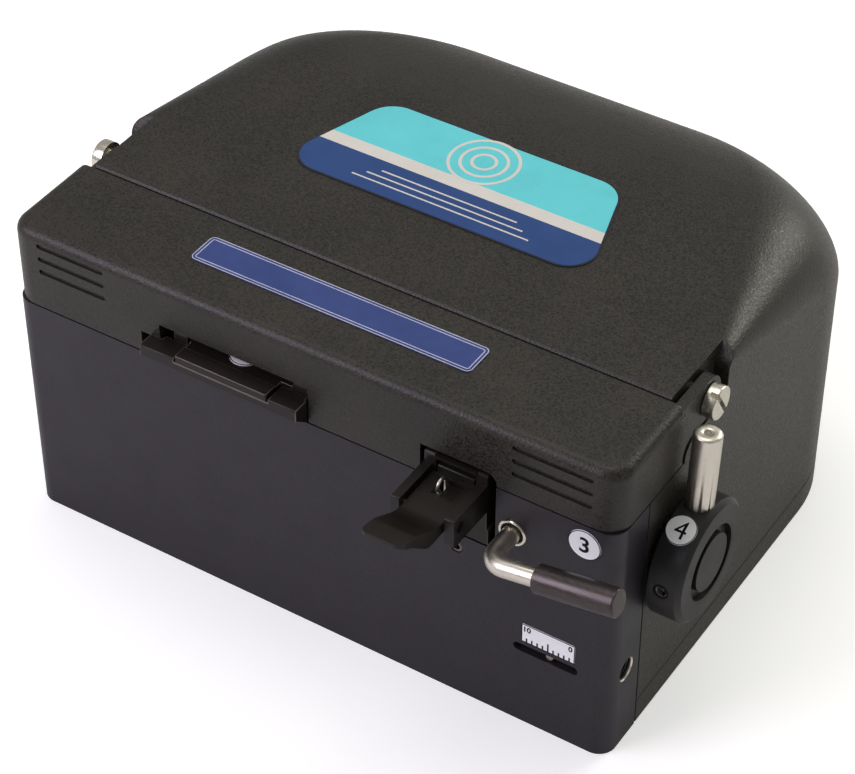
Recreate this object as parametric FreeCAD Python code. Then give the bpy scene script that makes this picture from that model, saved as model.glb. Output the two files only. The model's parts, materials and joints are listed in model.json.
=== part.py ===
import FreeCAD, Part
import math
import os

from FreeCAD import Vector

# Bench-top fibre cleaver. Lengths are in millimetres.
#
# While a piece is modelled, X runs from the left side to the right, Y from the
# front face to the back, and Z up from the surface that the cleaver stands on.
# export() moves the origin to the centre of the resting face.

# ---------------------------------------------------------------- body sizes
WIDTH = 110.0
DEPTH = 89.5
HOUSING_TOP = 58.5
REAR_CORNER = 24.2          # plan radius of the two back corners
FRONT_CORNER = 3.0          # plan radius of the two front corners
WALL = 2.4
BASE_THICK = 5.2
FRAME_DEPTH = 9.2           # front frame, front to back
FRAME_TOP = 43.25           # left of the carriage window
FRAME_TOP_RIGHT = 46.65     # right of the carriage window
SEAM = 0.3                  # gap along the lid's lower edge
EDGE = 0.35                 # small chamfer where two covers meet

# Side edges of the rear housing's top: quarter ellipses that grow toward the
# back. The roof falls to the rear face in a quarter ellipse of its own.
EDGE_GROWS_FROM = 28.3
EDGE_SMALL = 0.8
EDGE_WIDE_SLOPE = 0.345     # growth of the ellipse's width, per mm of depth
EDGE_DEEP_SLOPE = 0.277     # growth of its height
ROOF_FALL_LONG = 31.5       # how far before the rear face the roof starts to fall
ROOF_FALL_DEEP = 11.2

# ----------------------------------------------------------------- lid sizes
LID_TOP = 58.15
LID_BACK = 18.5
LID_WALL = 2.0
LID_ROOF = 55.95            # underside of the lid's roof
LID_EDGE_R = 1.9
LID_CORNER = 4.0            # plan radius of its two front corners
LID_AXIS_Y = 26.3
LID_AXIS_Z = 54.0
ARM_THICK = 1.8
ARM_HALF = {"left": 2.4, "right": 3.6}   # half of each arm's height, and its end radius
ARM_INSET = {"left": 0.9, "right": 0.2}
SKIRT_BACK = 19.0
HOUSING_FRONT = 18.8        # upper front wall, behind the lid
POCKET_DEEP = {"left": 3.0, "right": 2.6}   # side pockets that the arms lie in
POCKET_BACK = 32.0

# ------------------------------------------------------- fibre and left clamp
FIBRE_Y = 11.0
CLAMP_SEAT_Z = 44.6         # face that the fibre lies on, in both clamps
PAD_FACE_Z = 44.9           # underside of both clamp pads
REST_FRONT = -3.0
REST_TOP = 47.75
CHEEK_LEFT = 31.0
CHEEK_RIGHT = 55.7
CHEEK_THICK = 2.5
CHEEK_TOP = 49.4
COVER_PIN_Y = 15.2
COVER_PIN_Z = 46.6
COVER_PIN_R = 0.8

# ------------------------------------------------- carriage and right clamp
WINDOW_LEFT = 76.2
WINDOW_RIGHT = 89.5
WINDOW_BOTTOM = 34.0
CARRIAGE_LEFT = 76.9
CARRIAGE_RIGHT = 87.95
CARRIAGE_TOP = 41.0
GUIDE_Y = 12.0
GUIDE_LOW_Z = 27.5
GUIDE_HIGH_Z = 34.5
GUIDE_R = 1.25
TONGUE_PIN_Y = -7.4
TONGUE_PIN_Z = 44.0
TONGUE_PIN_R = 0.65
TONGUE_LEFT = 78.9
TONGUE_RIGHT = 86.0

# --------------------------------------------------------------------- lever
LEVER_X = 92.5
LEVER_Z = 39.3
LEVER_R = 1.5
LEVER_RISE = math.radians(9.0)
LEVER_OUT = 7.4             # how far the arm runs in front of the frame
LEVER_BEND = 3.0
CRANK_THROW = 1.5
CRANK_PIN_R = 0.8

# ------------------------------------------------------------- tension screw
SCREW_Y = 5.0
SCREW_Z = 15.6
POINTER_X = 99.2
POINTER_Z = 16.5

# ---------------------------------------------------------------------- knob
KNOB_Y = 17.7
KNOB_Z = 31.1
KNOB_R = 10.2
KNOB_INNER_X = 110.8
KNOB_OUTER_X = 116.5
KNOB_PIN_X = 113.4
KNOB_PIN_R = 2.225
KNOB_PIN_LEAN = math.radians(4.0)   # the pin leans back a little at rest
SHAFT_R = 3.0

# --------------------------------------------------------------- blade drive
BLADE_X = 65.0
ARM_PIVOT_Y = 45.0
ARM_PIVOT_Z = 37.3
ARM_BOTTOM = 36.2
ARM_TOP = 38.4
CAM_R = 4.9
CAM_THROW = 0.77

RUNNING = 0.05              # radial play of every turning or sliding fit


# ------------------------------------------------------------------- helpers
def box(x0, x1, y0, y1, z0, z1):
    """Rectangular block between the given limits."""
    return Part.makeBox(x1 - x0, y1 - y0, z1 - z0, Vector(x0, y0, z0))


def rod_x(y, z, radius, x0, x1):
    """Cylinder along X."""
    return Part.makeCylinder(radius, x1 - x0, Vector(x0, y, z), Vector(1, 0, 0))


def rod_y(x, z, radius, y0, y1):
    """Cylinder along Y."""
    return Part.makeCylinder(radius, y1 - y0, Vector(x, y0, z), Vector(0, 1, 0))


def rod_z(x, y, radius, z0, z1):
    """Cylinder along Z."""
    return Part.makeCylinder(radius, z1 - z0, Vector(x, y, z0), Vector(0, 0, 1))


def rounded_face(corners, place):
    """Flat face through corners (u, v, radius), with an arc at each radius.

    place turns a pair (u, v) into a point in space.
    """
    ends = []
    count = len(corners)
    for index in range(count):
        u, v, radius = corners[index]
        before = corners[index - 1]
        after = corners[(index + 1) % count]
        here = Vector(u, v, 0)
        back = (Vector(before[0], before[1], 0) - here).normalize()
        ahead = (Vector(after[0], after[1], 0) - here).normalize()
        if radius == 0:
            ends.append((here, None, here))
            continue
        half = back.getAngle(ahead) / 2.0
        reach = radius / math.tan(half)
        inward = (back + ahead).normalize()
        centre = here + inward * (radius / math.sin(half))
        middle = centre - inward * radius
        ends.append((here + back * reach, middle, here + ahead * reach))
    edges = []
    for index in range(count):
        start, middle, stop = ends[index]
        following = ends[(index + 1) % count][0]
        if middle is not None:
            arc = Part.Arc(place(start.x, start.y), place(middle.x, middle.y), place(stop.x, stop.y))
            edges.append(arc.toShape())
        if (following - stop).Length > 1e-6:
            edges.append(Part.makeLine(place(stop.x, stop.y), place(following.x, following.y)))
    return Part.Face(Part.Wire(edges))


def side_profile(corners, x0, x1):
    """Profile of (y, z, radius) corners, extruded from x0 to x1."""
    face = rounded_face(corners, lambda u, v: Vector(x0, u, v))
    return face.extrude(Vector(x1 - x0, 0, 0))


def front_profile(corners, y0, y1):
    """Profile of (x, z, radius) corners, extruded from y0 to y1."""
    face = rounded_face(corners, lambda u, v: Vector(u, y0, v))
    return face.extrude(Vector(0, y1 - y0, 0))


def plan_profile(corners, z0, z1):
    """Profile of (x, y, radius) corners, extruded from z0 to z1."""
    face = rounded_face(corners, lambda u, v: Vector(u, v, z0))
    return face.extrude(Vector(0, 0, z1 - z0))


def slot_y(x0, x1, z, half, y0, y1):
    """Round-ended slot along X, cut from y0 to y1."""
    corners = [
        (x0, z - half, half * 0.999),
        (x1, z - half, half * 0.999),
        (x1, z + half, half * 0.999),
        (x0, z + half, half * 0.999),
    ]
    return front_profile(corners, y0, y1)


def round_edges(shape, radius, chosen):
    """Fillet the edges whose middle point satisfies chosen(edge, middle)."""
    edges = []
    for edge in shape.Edges:
        middle = edge.valueAt((edge.FirstParameter + edge.LastParameter) / 2.0)
        if chosen(edge, middle):
            edges.append(edge)
    return shape.makeFillet(radius, edges)


def bevel_edges(shape, size, chosen):
    """Chamfer the edges whose middle point satisfies chosen(edge, middle)."""
    edges = []
    for edge in shape.Edges:
        middle = edge.valueAt((edge.FirstParameter + edge.LastParameter) / 2.0)
        if chosen(edge, middle):
            edges.append(edge)
    return shape.makeChamfer(size, edges)


def fuse(first, *others):
    """One clean solid from touching or overlapping pieces."""
    return first.multiFuse(list(others)).removeSplitter()


def near(value, target):
    return abs(value - target) < 1e-4


# ---------------------------------------------------------------- outer body
def body_plan(inset, y_front, z0, z1):
    """Plan of the body behind y_front: square in front, rounded at the back."""
    corner = REAR_CORNER - inset
    corners = [
        (inset, y_front, 0),
        (WIDTH - inset, y_front, 0),
        (WIDTH - inset, DEPTH - inset, corner),
        (inset, DEPTH - inset, corner),
    ]
    return plan_profile(corners, z0, z1)


def body_size(y):
    """Half width, height, and width and height of the edge ellipse, at one depth."""
    past_corner = max(0.0, y - (DEPTH - REAR_CORNER))
    half = WIDTH / 2 - REAR_CORNER + math.sqrt(max(0.0, REAR_CORNER ** 2 - past_corner ** 2))
    fall = max(0.0, y - (DEPTH - ROOF_FALL_LONG)) / ROOF_FALL_LONG
    top = HOUSING_TOP - ROOF_FALL_DEEP * (1 - math.sqrt(max(0.0, 1 - fall ** 2)))
    growth = max(0.0, y - EDGE_GROWS_FROM)
    wide = EDGE_SMALL + EDGE_WIDE_SLOPE * growth
    deep = EDGE_SMALL + EDGE_DEEP_SLOPE * growth
    return half, top, wide, deep


def outer_section(y):
    """Outline of the body across its width, with elliptical top corners."""
    half, top, wide, deep = body_size(y)
    left = WIDTH / 2 - half
    right = WIDTH / 2 + half
    low = BASE_THICK
    edges = [
        Part.makeLine(Vector(left, y, low), Vector(right, y, low)),
        Part.makeLine(Vector(right, y, low), Vector(right, y, top - deep)),
        corner_ellipse(right - wide, y, top - deep, wide, deep, 0),
        Part.makeLine(Vector(right - wide, y, top), Vector(left + wide, y, top)),
        corner_ellipse(left + wide, y, top - deep, wide, deep, 90),
        Part.makeLine(Vector(left, y, top - deep), Vector(left, y, low)),
    ]
    return Part.Wire(edges)


def corner_ellipse(x, y, z, wide, deep, start):
    """Quarter ellipse about (x, z), from the start angle on; 0 is to the right."""
    angle = math.radians(start)
    long_axis = Vector(x + wide, y, z) if wide >= deep else Vector(x, y, z + deep)
    short_axis = Vector(x, y, z + deep) if wide >= deep else Vector(x - wide, y, z)
    ellipse = Part.Ellipse(long_axis, short_axis, Vector(x, y, z))
    if wide < deep:
        angle -= math.radians(90)
    return Part.Arc(ellipse, angle, angle + math.radians(90)).toShape()


def inner_section(y, inset):
    """Outline of the hollow across its width, with plain sloping top corners."""
    half, top, wide, deep = body_size(y)
    left = WIDTH / 2 - half + inset
    right = WIDTH / 2 + half - inset
    ceiling = top - inset
    wide = max(0.6, wide - 0.6 * inset)
    deep = max(0.6, deep - 0.6 * inset)
    low = BASE_THICK - 1
    points = [
        Vector(left, y, low),
        Vector(right, y, low),
        Vector(right, y, ceiling - deep),
        Vector(right - wide, y, ceiling),
        Vector(left + wide, y, ceiling),
        Vector(left, y, ceiling - deep),
    ]
    return Part.makePolygon(points + points[:1])


def outer_body(y_front):
    """The body block: straight in front, domed toward the back."""
    front = Part.Face(outer_section(y_front)).extrude(Vector(0, EDGE_GROWS_FROM - y_front, 0))
    fall_from = DEPTH - ROOF_FALL_LONG
    turn_from = DEPTH - REAR_CORNER
    cone = Part.makeLoft([outer_section(EDGE_GROWS_FROM), outer_section(fall_from)], True, True)
    stations = [fall_from + (turn_from - fall_from) * step / 3 for step in range(4)]
    middle = Part.makeLoft([outer_section(y) for y in stations], True, False)
    stations = [turn_from + REAR_CORNER * math.sin(math.radians(90 * step / 9)) for step in range(10)]
    rear = Part.makeLoft([outer_section(y) for y in stations], True, False)
    return fuse(front, cone, middle, rear)


def inner_body(inset, y_front):
    """The hollow inside the body block, in flat facets."""
    reach = REAR_CORNER - inset
    turn_from = DEPTH - REAR_CORNER
    stations = [y_front, EDGE_GROWS_FROM, DEPTH - ROOF_FALL_LONG, turn_from]
    for step in range(1, 5):
        stations.append(turn_from + reach * math.sin(math.radians(90 * step / 4)))
    # each section is drawn for the outside, one wall further back
    sections = []
    for y in stations:
        behind = max(0.0, y - turn_from)
        outside = turn_from + behind * REAR_CORNER / reach
        section = inner_section(outside, inset)
        section.translate(Vector(0, y - outside, 0))
        sections.append(section)
    return Part.makeLoft(sections, True, True)


def front_frame():
    """Thick front plate: window, lever bore, scale slot and screw pocket."""
    corners = [
        (0, 0, FRONT_CORNER),
        (WIDTH, 0, FRONT_CORNER),
        (WIDTH, FRAME_DEPTH, 0),
        (0, FRAME_DEPTH, 0),
    ]
    plate = plan_profile(corners, 0, FRAME_TOP_RIGHT)
    plate = bevel_edges(plate, EDGE, lambda e, m: near(m.y, FRAME_DEPTH) and near(m.z, FRAME_TOP_RIGHT / 2))
    lowered = box(-1, WINDOW_RIGHT, -1, FRAME_DEPTH + 1, FRAME_TOP, FRAME_TOP_RIGHT + 1)
    window = box(WINDOW_LEFT, WINDOW_RIGHT, -1, FRAME_DEPTH + 1, WINDOW_BOTTOM, FRAME_TOP + 1)
    lever_bore = rod_y(LEVER_X, LEVER_Z, 2.33, -1, FRAME_DEPTH + 1)
    peg_hole = rod_y(82.8, 31.2, 1.1, -1, 2.0)
    scale_slot = slot_y(93.1, 104.4, 16.1, 0.8, -1, 3.0)
    nut_pocket = box(92.3, 105.95, 2.2, FRAME_DEPTH + 1, 12.6, 19.4)
    screw_mouth = rod_x(SCREW_Y, SCREW_Z, 2.4, 105.9, WIDTH + 1)
    screw_tail = rod_x(SCREW_Y, SCREW_Z, 1.5 + RUNNING, 88.5, 92.4)
    for cut in (lowered, window, lever_bore, peg_hole, scale_slot, nut_pocket, screw_mouth, screw_tail):
        plate = plate.cut(cut)
    return plate.removeSplitter()


def foot_places():
    """Plan centres of the four rubber feet, by name."""
    return {
        "foot_front_left": (12.0, 19.0),
        "foot_front_right": (98.0, 19.0),
        "foot_back_left": (22.0, 77.0),
        "foot_back_right": (88.0, 77.0),
    }


def base_plate():
    """Flat base behind the front frame, with foot seats and battery opening."""
    plate = body_plan(0, FRAME_DEPTH, 0, BASE_THICK)
    plate = bevel_edges(plate, EDGE, lambda e, m: near(m.z, BASE_THICK) and m.y > FRAME_DEPTH + 1)
    for x, y in foot_places().values():
        plate = plate.cut(rod_z(x, y, 4.5, -1, 1.5))
    plate = plate.cut(box(62.0, 98.0, 51.0, 67.4, -1, 2.0))
    plate = plate.cut(box(63.6, 96.4, 52.6, 65.8, 1.0, BASE_THICK + 1))
    for x in (14.0, 44.0):
        for y in (32.0, 66.0):
            plate = plate.fuse(rod_z(x, y, 2.0, BASE_THICK, 9.0))
    return plate.removeSplitter()


def foot(place):
    """Round rubber foot let into the base, flush with its underside."""
    x, y = place
    return rod_z(x, y, 4.5, 0, 1.5)


def service_cover():
    """Cover over the battery opening, flush with the base's underside."""
    corners = [(62.1, 51.1, 1.5), (97.9, 51.1, 1.5), (97.9, 67.3, 1.5), (62.1, 67.3, 1.5)]
    cover = plan_profile(corners, 0, 2.0)
    for x in (65.5, 94.5):
        cover = cover.cut(Part.makeCone(1.9, 0.9, 1.0, Vector(x, 53.2, 0)))
    return cover


def arm_pocket(side):
    """Space that a lid arm swings in, cut into one side of the housing."""
    low = FRAME_TOP if side == "left" else FRAME_TOP_RIGHT
    under = LID_AXIS_Z - ARM_HALF["right"] - 0.4
    corners = [
        (12.0, HOUSING_TOP + 2, 0),
        (POCKET_BACK + 4.4, HOUSING_TOP + 2, 0),
        (POCKET_BACK, 56.0, 2.5),
        (POCKET_BACK, under, 1.0),
        (SKIRT_BACK + 0.4, under, 3.0),
        (SKIRT_BACK + 0.4, low, 0),
        (12.0, low, 0),
    ]
    if side == "left":
        return side_profile(corners, -1, POCKET_DEEP["left"])
    return side_profile(corners, WIDTH - POCKET_DEEP["right"], WIDTH + 1)


def rear_housing():
    """Hollow rounded cover, open below and at the lower front."""
    outer = outer_body(FRAME_DEPTH)
    inner = inner_body(WALL, FRAME_DEPTH - 1)
    inner = inner.cut(box(-1, WIDTH + 1, 0, HOUSING_FRONT + WALL, CARRIAGE_TOP, HOUSING_TOP))
    for x in (0.0, WIDTH - 5.4):
        inner = inner.cut(box(x, x + 5.4, HOUSING_FRONT, 35.0, 45.0, HOUSING_TOP))
    shell = outer.cut(inner)
    shell = shell.cut(box(-1, WIDTH / 2, 0, HOUSING_FRONT, FRAME_TOP, HOUSING_TOP + 1))
    shell = shell.cut(box(WIDTH / 2, WIDTH + 1, 0, HOUSING_FRONT, FRAME_TOP_RIGHT, HOUSING_TOP + 1))
    lip = [(18.0, 57.35, 0), (20.0, 59.35, 0), (18.0, 59.35, 0)]
    shell = shell.cut(side_profile(lip, -1, WIDTH + 1))
    floor = box(WALL, WIDTH - WALL, 0, HOUSING_FRONT, CARRIAGE_TOP, HOUSING_TOP)
    shell = shell.cut(floor)
    shell = shell.cut(arm_pocket("left"))
    shell = shell.cut(arm_pocket("right"))
    shell = shell.cut(rod_x(LID_AXIS_Y, LID_AXIS_Z, 1.5, -1, 6.4))
    shell = shell.cut(rod_x(LID_AXIS_Y, LID_AXIS_Z, 1.5, WIDTH - 6.4, WIDTH + 1))
    shell = shell.cut(rod_x(KNOB_Y, KNOB_Z, 4.5, WIDTH - 6, WIDTH + 1))
    return shell.removeSplitter()


def deck():
    """Floor of the fibre bay, raised over the lever's yoke on the right."""
    left = WALL + 0.2
    right = WIDTH - WALL - 0.2
    back = HOUSING_FRONT
    slab = box(left, right, FRAME_DEPTH, back, CARRIAGE_TOP, FRAME_TOP)
    slab = slab.cut(box(76.0, 98.0, 0, 14.8, 40, 50))
    slab = slab.cut(box(BLADE_X - 1.5, BLADE_X + 1.5, 9.6, 13.4, 40, 50))
    cover = box(90.4, right, FRAME_DEPTH, back - 0.1, 44.6, FRAME_TOP_RIGHT)
    web = box(98.0, 99.6, FRAME_DEPTH, back - 0.1, FRAME_TOP - 0.5, 45.0)
    return fuse(slab, cover, web)


def top_label():
    """Thin label on the housing top, narrower toward the back."""
    corners = [(26.0, 36.1, 5.0), (83.7, 36.1, 5.0), (77.2, 58.6, 5.5), (33.1, 58.6, 5.5)]
    return plan_profile(corners, HOUSING_TOP, HOUSING_TOP + 0.15)


# ----------------------------------------------------------------------- lid
def lid_arm(side):
    """Side skirt and hinge arm, in one flat piece with a round end."""
    low = (FRAME_TOP if side == "left" else FRAME_TOP_RIGHT) + SEAM
    half = ARM_HALF[side]
    end = LID_AXIS_Y + half
    corners = [
        (8.0, LID_AXIS_Z + 2.4, 0),
        (LID_BACK - 2.0, LID_AXIS_Z + 2.4, 0),
        (LID_BACK - 0.5, LID_AXIS_Z + half + 0.001, 0),
        (end, LID_AXIS_Z + half, half * 0.999),
        (end, LID_AXIS_Z - half, half * 0.999),
        (SKIRT_BACK, LID_AXIS_Z - half, 3.0),
        (SKIRT_BACK, low, 0),
        (8.0, low, 0),
    ]
    if side == "left":
        return side_profile(corners, ARM_INSET["left"], ARM_INSET["left"] + ARM_THICK)
    outer = WIDTH - ARM_INSET["right"]
    return side_profile(corners, outer - ARM_THICK, outer)


def lid():
    """Flip-up cover: roof, front wall with two notches, vents and two arms."""
    low = FRAME_TOP + SEAM
    low_right = FRAME_TOP_RIGHT + SEAM
    corners = [
        (0, 0, LID_CORNER),
        (WIDTH, 0, LID_CORNER),
        (WIDTH, LID_BACK, 0),
        (0, LID_BACK, 0),
    ]
    shell = plan_profile(corners, low, LID_TOP)
    shell = round_edges(shell, LID_EDGE_R, lambda e, m: near(m.z, LID_TOP) and not near(m.y, LID_BACK))
    hollow = [
        (LID_WALL, LID_WALL, 2.0),
        (WIDTH - LID_WALL, LID_WALL, 2.0),
        (WIDTH - LID_WALL, LID_BACK + 2, 0),
        (LID_WALL, LID_BACK + 2, 0),
    ]
    shell = shell.cut(plan_profile(hollow, low - 1, LID_ROOF))
    shell = shell.cut(box(WINDOW_RIGHT + 0.1, WIDTH + 1, -1, LID_BACK + 1, low - 1, low_right))
    shell = shell.fuse(lid_arm("left"))
    shell = shell.fuse(lid_arm("right"))
    # the roof's back face leans forward, so it clears the housing as it lifts
    heel = [(LID_BACK, LID_TOP, 0), (LID_BACK + 2, LID_TOP, 0), (LID_BACK + 2, 54.0, 0), (16.0, 54.0, 0)]
    shell = shell.cut(side_profile(heel, LID_WALL, WIDTH - LID_WALL))
    # notches over the left and right clamps
    shell = shell.cut(box(25.4, 30.0, -1, LID_WALL + 1, low - 1, 47.5))
    shell = shell.cut(box(29.05, 56.5, -1, LID_WALL + 1, low - 1, 50.3))
    right_notch = [
        (76.4, low - 1, 0),
        (89.6, low - 1, 0),
        (89.6, 49.0, 2.0),
        (76.4, 49.0, 0),
    ]
    shell = shell.cut(front_profile(right_notch, -1, LID_WALL + 1))
    for height in (55.8, 53.3, 50.8):
        shell = shell.cut(slot_y(5.8, 18.7, height, 0.42, -1, LID_WALL + 0.5))
        shell = shell.cut(slot_y(WIDTH - 18.0, WIDTH - 4.6, height, 0.42, -1, LID_WALL + 0.5))
    bore = 1.5 + RUNNING
    shell = shell.cut(rod_x(LID_AXIS_Y, LID_AXIS_Z, bore, -1, WIDTH + 1))
    return shell.removeSplitter()


def lid_strip():
    """Thin strip let on to the lid's flat top."""
    corners = [(29.4, 8.05, 1.0), (79.8, 8.05, 1.0), (79.8, 14.3, 1.0), (29.4, 14.3, 1.0)]
    return plan_profile(corners, LID_TOP, LID_TOP + 0.15)


def hinge_screw(side):
    """Slotted cheese-head shoulder screw that a lid arm turns on."""
    head = rod_x(LID_AXIS_Y, LID_AXIS_Z, 2.75, WIDTH, WIDTH + 1.9)
    head = bevel_edges(head, 0.3, lambda e, m: near(m.x, WIDTH + 1.9))
    slot = box(WIDTH + 1.0, WIDTH + 3, -4, 4, -0.4, 0.4)
    slot.rotate(Vector(0, 0, 0), Vector(1, 0, 0), -38.0)
    slot.translate(Vector(0, LID_AXIS_Y, LID_AXIS_Z))
    head = head.cut(slot)
    shank = rod_x(LID_AXIS_Y, LID_AXIS_Z, 1.5, WIDTH - 6.4, WIDTH)
    if side == "right":
        return fuse(head, shank)
    # the left arm lies deeper, under a shoulder on the screw
    shoulder = rod_x(LID_AXIS_Y, LID_AXIS_Z, 2.2, WIDTH - ARM_INSET["left"] + RUNNING, WIDTH)
    screw = fuse(head, shank, shoulder)
    return screw.mirror(Vector(WIDTH / 2, 0, 0), Vector(1, 0, 0))


# ---------------------------------------------------------------- left clamp
def left_rest():
    """Fixed shelf in front of the left clamp, sloping back underneath."""
    nose = [
        (0.9, FRAME_TOP, 0),
        (0.9, REST_TOP, 0),
        (REST_FRONT, REST_TOP, 0.3),
        (REST_FRONT, REST_TOP - 2.1, 0.3),
        (0.0, FRAME_TOP, 0),
    ]
    shelf = side_profile(nose, 27.3, 56.3)
    shelf = shelf.cut(box(26.0, 29.5, 0.0, 2.0, 40, 50))
    shelf = shelf.cut(box(56.0, 57.0, 0.0, 2.0, 40, 50))
    return shelf.cut(box(33.7, 51.2, REST_FRONT - 1, 1.0, 47.05, 50))


def left_clamp_block():
    """Seat and two cheeks of the left clamp, with a groove for the fibre."""
    seat = box(CHEEK_LEFT, CHEEK_RIGHT, 1.0, 17.2, FRAME_TOP, CLAMP_SEAT_Z)
    cheek = [
        (1.0, FRAME_TOP, 0),
        (17.2, FRAME_TOP, 0),
        (17.2, CHEEK_TOP, 2.5),
        (1.0, CHEEK_TOP, 0.8),
    ]
    left = side_profile(cheek, CHEEK_LEFT, CHEEK_LEFT + CHEEK_THICK)
    right = side_profile(cheek, CHEEK_RIGHT - CHEEK_THICK, CHEEK_RIGHT)
    block = fuse(seat, left, right)
    groove = [
        (FIBRE_Y - 0.4, CLAMP_SEAT_Z + 0.001, 0),
        (FIBRE_Y, CLAMP_SEAT_Z - 0.4, 0),
        (FIBRE_Y + 0.4, CLAMP_SEAT_Z + 0.001, 0),
    ]
    block = block.cut(side_profile(groove, CHEEK_LEFT - 1, CHEEK_RIGHT + 1))
    # the fibre enters and leaves through a slot in each cheek
    for x in (CHEEK_LEFT - 1, CHEEK_RIGHT - CHEEK_THICK - 0.5):
        block = block.cut(box(x, x + CHEEK_THICK + 1.5, FIBRE_Y - 0.5, FIBRE_Y + 0.5, CLAMP_SEAT_Z, 60))
    return block.cut(rod_x(COVER_PIN_Y, COVER_PIN_Z, COVER_PIN_R, CHEEK_LEFT - 1, CHEEK_RIGHT + 1))


def left_cover():
    """Hinged cover of the left clamp, with a finger lip at the front."""
    plate = box(33.8, 52.9, 1.1, 17.0, 46.2, 48.2)
    lip_corners = [
        (34.0, -0.4, 0),
        (34.0, REST_FRONT, 0.3),
        (50.9, REST_FRONT, 0.3),
        (50.9, -0.4, 0),
    ]
    lip = plan_profile(lip_corners, 47.15, 48.5)
    tread = box(34.0, 50.9, -0.5, 1.6, 47.15, 48.2)
    knuckle = rod_x(COVER_PIN_Y, COVER_PIN_Z, 1.65, 33.8, 52.9)
    cover = fuse(plate, lip, tread, knuckle)
    return cover.cut(rod_x(COVER_PIN_Y, COVER_PIN_Z, COVER_PIN_R + RUNNING, 30, 60))


def left_pad():
    """Rubber pad that presses the fibre on to its seat."""
    return box(37.0, 50.0, FIBRE_Y - 3.0, FIBRE_Y + 2.0, PAD_FACE_Z, 46.2)


def left_cover_pin():
    return rod_x(COVER_PIN_Y, COVER_PIN_Z, COVER_PIN_R, CHEEK_LEFT + 0.2, CHEEK_RIGHT - 0.2)


def disc_1():
    """Step disc on the left clamp's cover."""
    return rod_z(42.9, 3.25, 2.55, 48.2, 48.4)


# ----------------------------------------------------- carriage, right clamp
def carriage():
    """Sliding block in the frame's window, with a yoke for the lever crank."""
    face = box(CARRIAGE_LEFT, CARRIAGE_RIGHT, 0, 9.6, 34.4, CARRIAGE_TOP)
    wing = box(CARRIAGE_RIGHT - 1, CARRIAGE_RIGHT + 0.3, 0, 9.0, 34.4, 37.4)
    block = box(CARRIAGE_LEFT, CARRIAGE_RIGHT, 9.5, 14.2, 25.0, CARRIAGE_TOP)
    yoke = box(88.6, 96.5, 10.6, 12.6, 36.6, 43.0)
    neck = box(CARRIAGE_RIGHT - 1, 89.0, 10.6, 12.6, 36.6, CARRIAGE_TOP)
    body = fuse(face, wing, block, neck, yoke)
    gate = box(LEVER_X - CRANK_PIN_R - 0.15, LEVER_X + CRANK_PIN_R + 0.15, 10, 13, 39.1, 42.1)
    body = body.cut(gate)
    for z in (GUIDE_LOW_Z, GUIDE_HIGH_Z):
        body = body.cut(rod_x(GUIDE_Y, z, GUIDE_R + RUNNING, 70, 100))
    return body


def clamp_bracket():
    """Right clamp: two side plates with pivot arms, and the fibre seat."""
    plate = [
        (-9.1, CARRIAGE_TOP, 0.3),
        (14.0, CARRIAGE_TOP, 0),
        (14.0, 48.1, 2.5),
        (0.0, 48.1, 0.6),
        (0.0, 46.2, 0),
        (-9.1, 46.2, 0.3),
    ]
    left = side_profile(plate, 77.15, 79.2)
    right = side_profile(plate, 86.06, 88.0)
    # the arms in front of the frame are thinner than the cheeks behind them
    left = left.cut(box(78.6, 80, -10, 0, 40, 50))
    right = right.cut(box(86.0, 86.3, -10, 0, 40, 50))
    seat = box(79.0, 86.2, 1.6, 14.0, CARRIAGE_TOP, CLAMP_SEAT_Z)
    bar = box(79.0, 86.2, -0.3, 0.6, 47.6, 48.1)
    bracket = fuse(left, right, seat, bar)
    bracket = bracket.cut(box(76, 90, FIBRE_Y - 0.5, FIBRE_Y + 0.5, CLAMP_SEAT_Z, 60))
    return bracket.cut(rod_x(TONGUE_PIN_Y, TONGUE_PIN_Z, TONGUE_PIN_R, 76, 90))


def tongue():
    """Clamp lever: press the curved tab in front and the jaw behind lifts."""
    tab = [
        (-0.3, 43.2, 0),
        (-0.3, 45.2, 0),
        (-10.4, 45.0, 6.0),
        (-16.0, 48.15, 4.0),
        (-19.9, 49.35, 0),
        (-19.9, 48.75, 0),
        (-17.2, 46.9, 4.0),
        (-12.9, 43.05, 3.5),
    ]
    front = side_profile(tab, TONGUE_LEFT, TONGUE_RIGHT)
    front = round_edges(front, 1.2, lambda e, m: near(m.y, -19.9) and near(m.z, 49.05))
    jaw = [
        (-0.6, 43.2, 0),
        (1.0, 43.2, 0.4),
        (1.0, 45.3, 0),
        (13.6, 45.3, 0),
        (13.6, 46.3, 0.4),
        (0.0, 46.3, 0.3),
        (0.0, 45.2, 0),
        (-0.6, 45.2, 0),
    ]
    back = side_profile(jaw, 79.5, 85.75)
    lever = fuse(front, back)
    lever = lever.cut(box(81.0, 84.9, -4.5, -0.9, 40, 50))
    return lever.cut(rod_x(TONGUE_PIN_Y, TONGUE_PIN_Z, TONGUE_PIN_R + RUNNING, 76, 90))


def tongue_pin():
    return rod_x(TONGUE_PIN_Y, TONGUE_PIN_Z, TONGUE_PIN_R, 77.3, 87.7)


def jaw_pad():
    """Rubber pad under the right jaw."""
    return box(79.9, 85.3, FIBRE_Y - 3.0, FIBRE_Y + 2.0, PAD_FACE_Z, 45.3)


def spring_hook():
    """Wire hook of the clamp spring, standing in the tongue's slot."""
    loop = 1.1
    foot_end = Vector(81.8, -2.65 + loop, 41.6)
    loop_start = Vector(81.8, -2.65 + loop, 45.5)
    leg = Part.makeCylinder(0.3, loop_start.z - foot_end.z, foot_end)
    section = Part.Face(Part.Wire(Part.makeCircle(0.3, loop_start, Vector(0, 0, 1))))
    ring = section.revolve(Vector(81.8, -2.65, 45.5), Vector(1, 0, 0), 250)
    return fuse(leg, ring)


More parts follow.
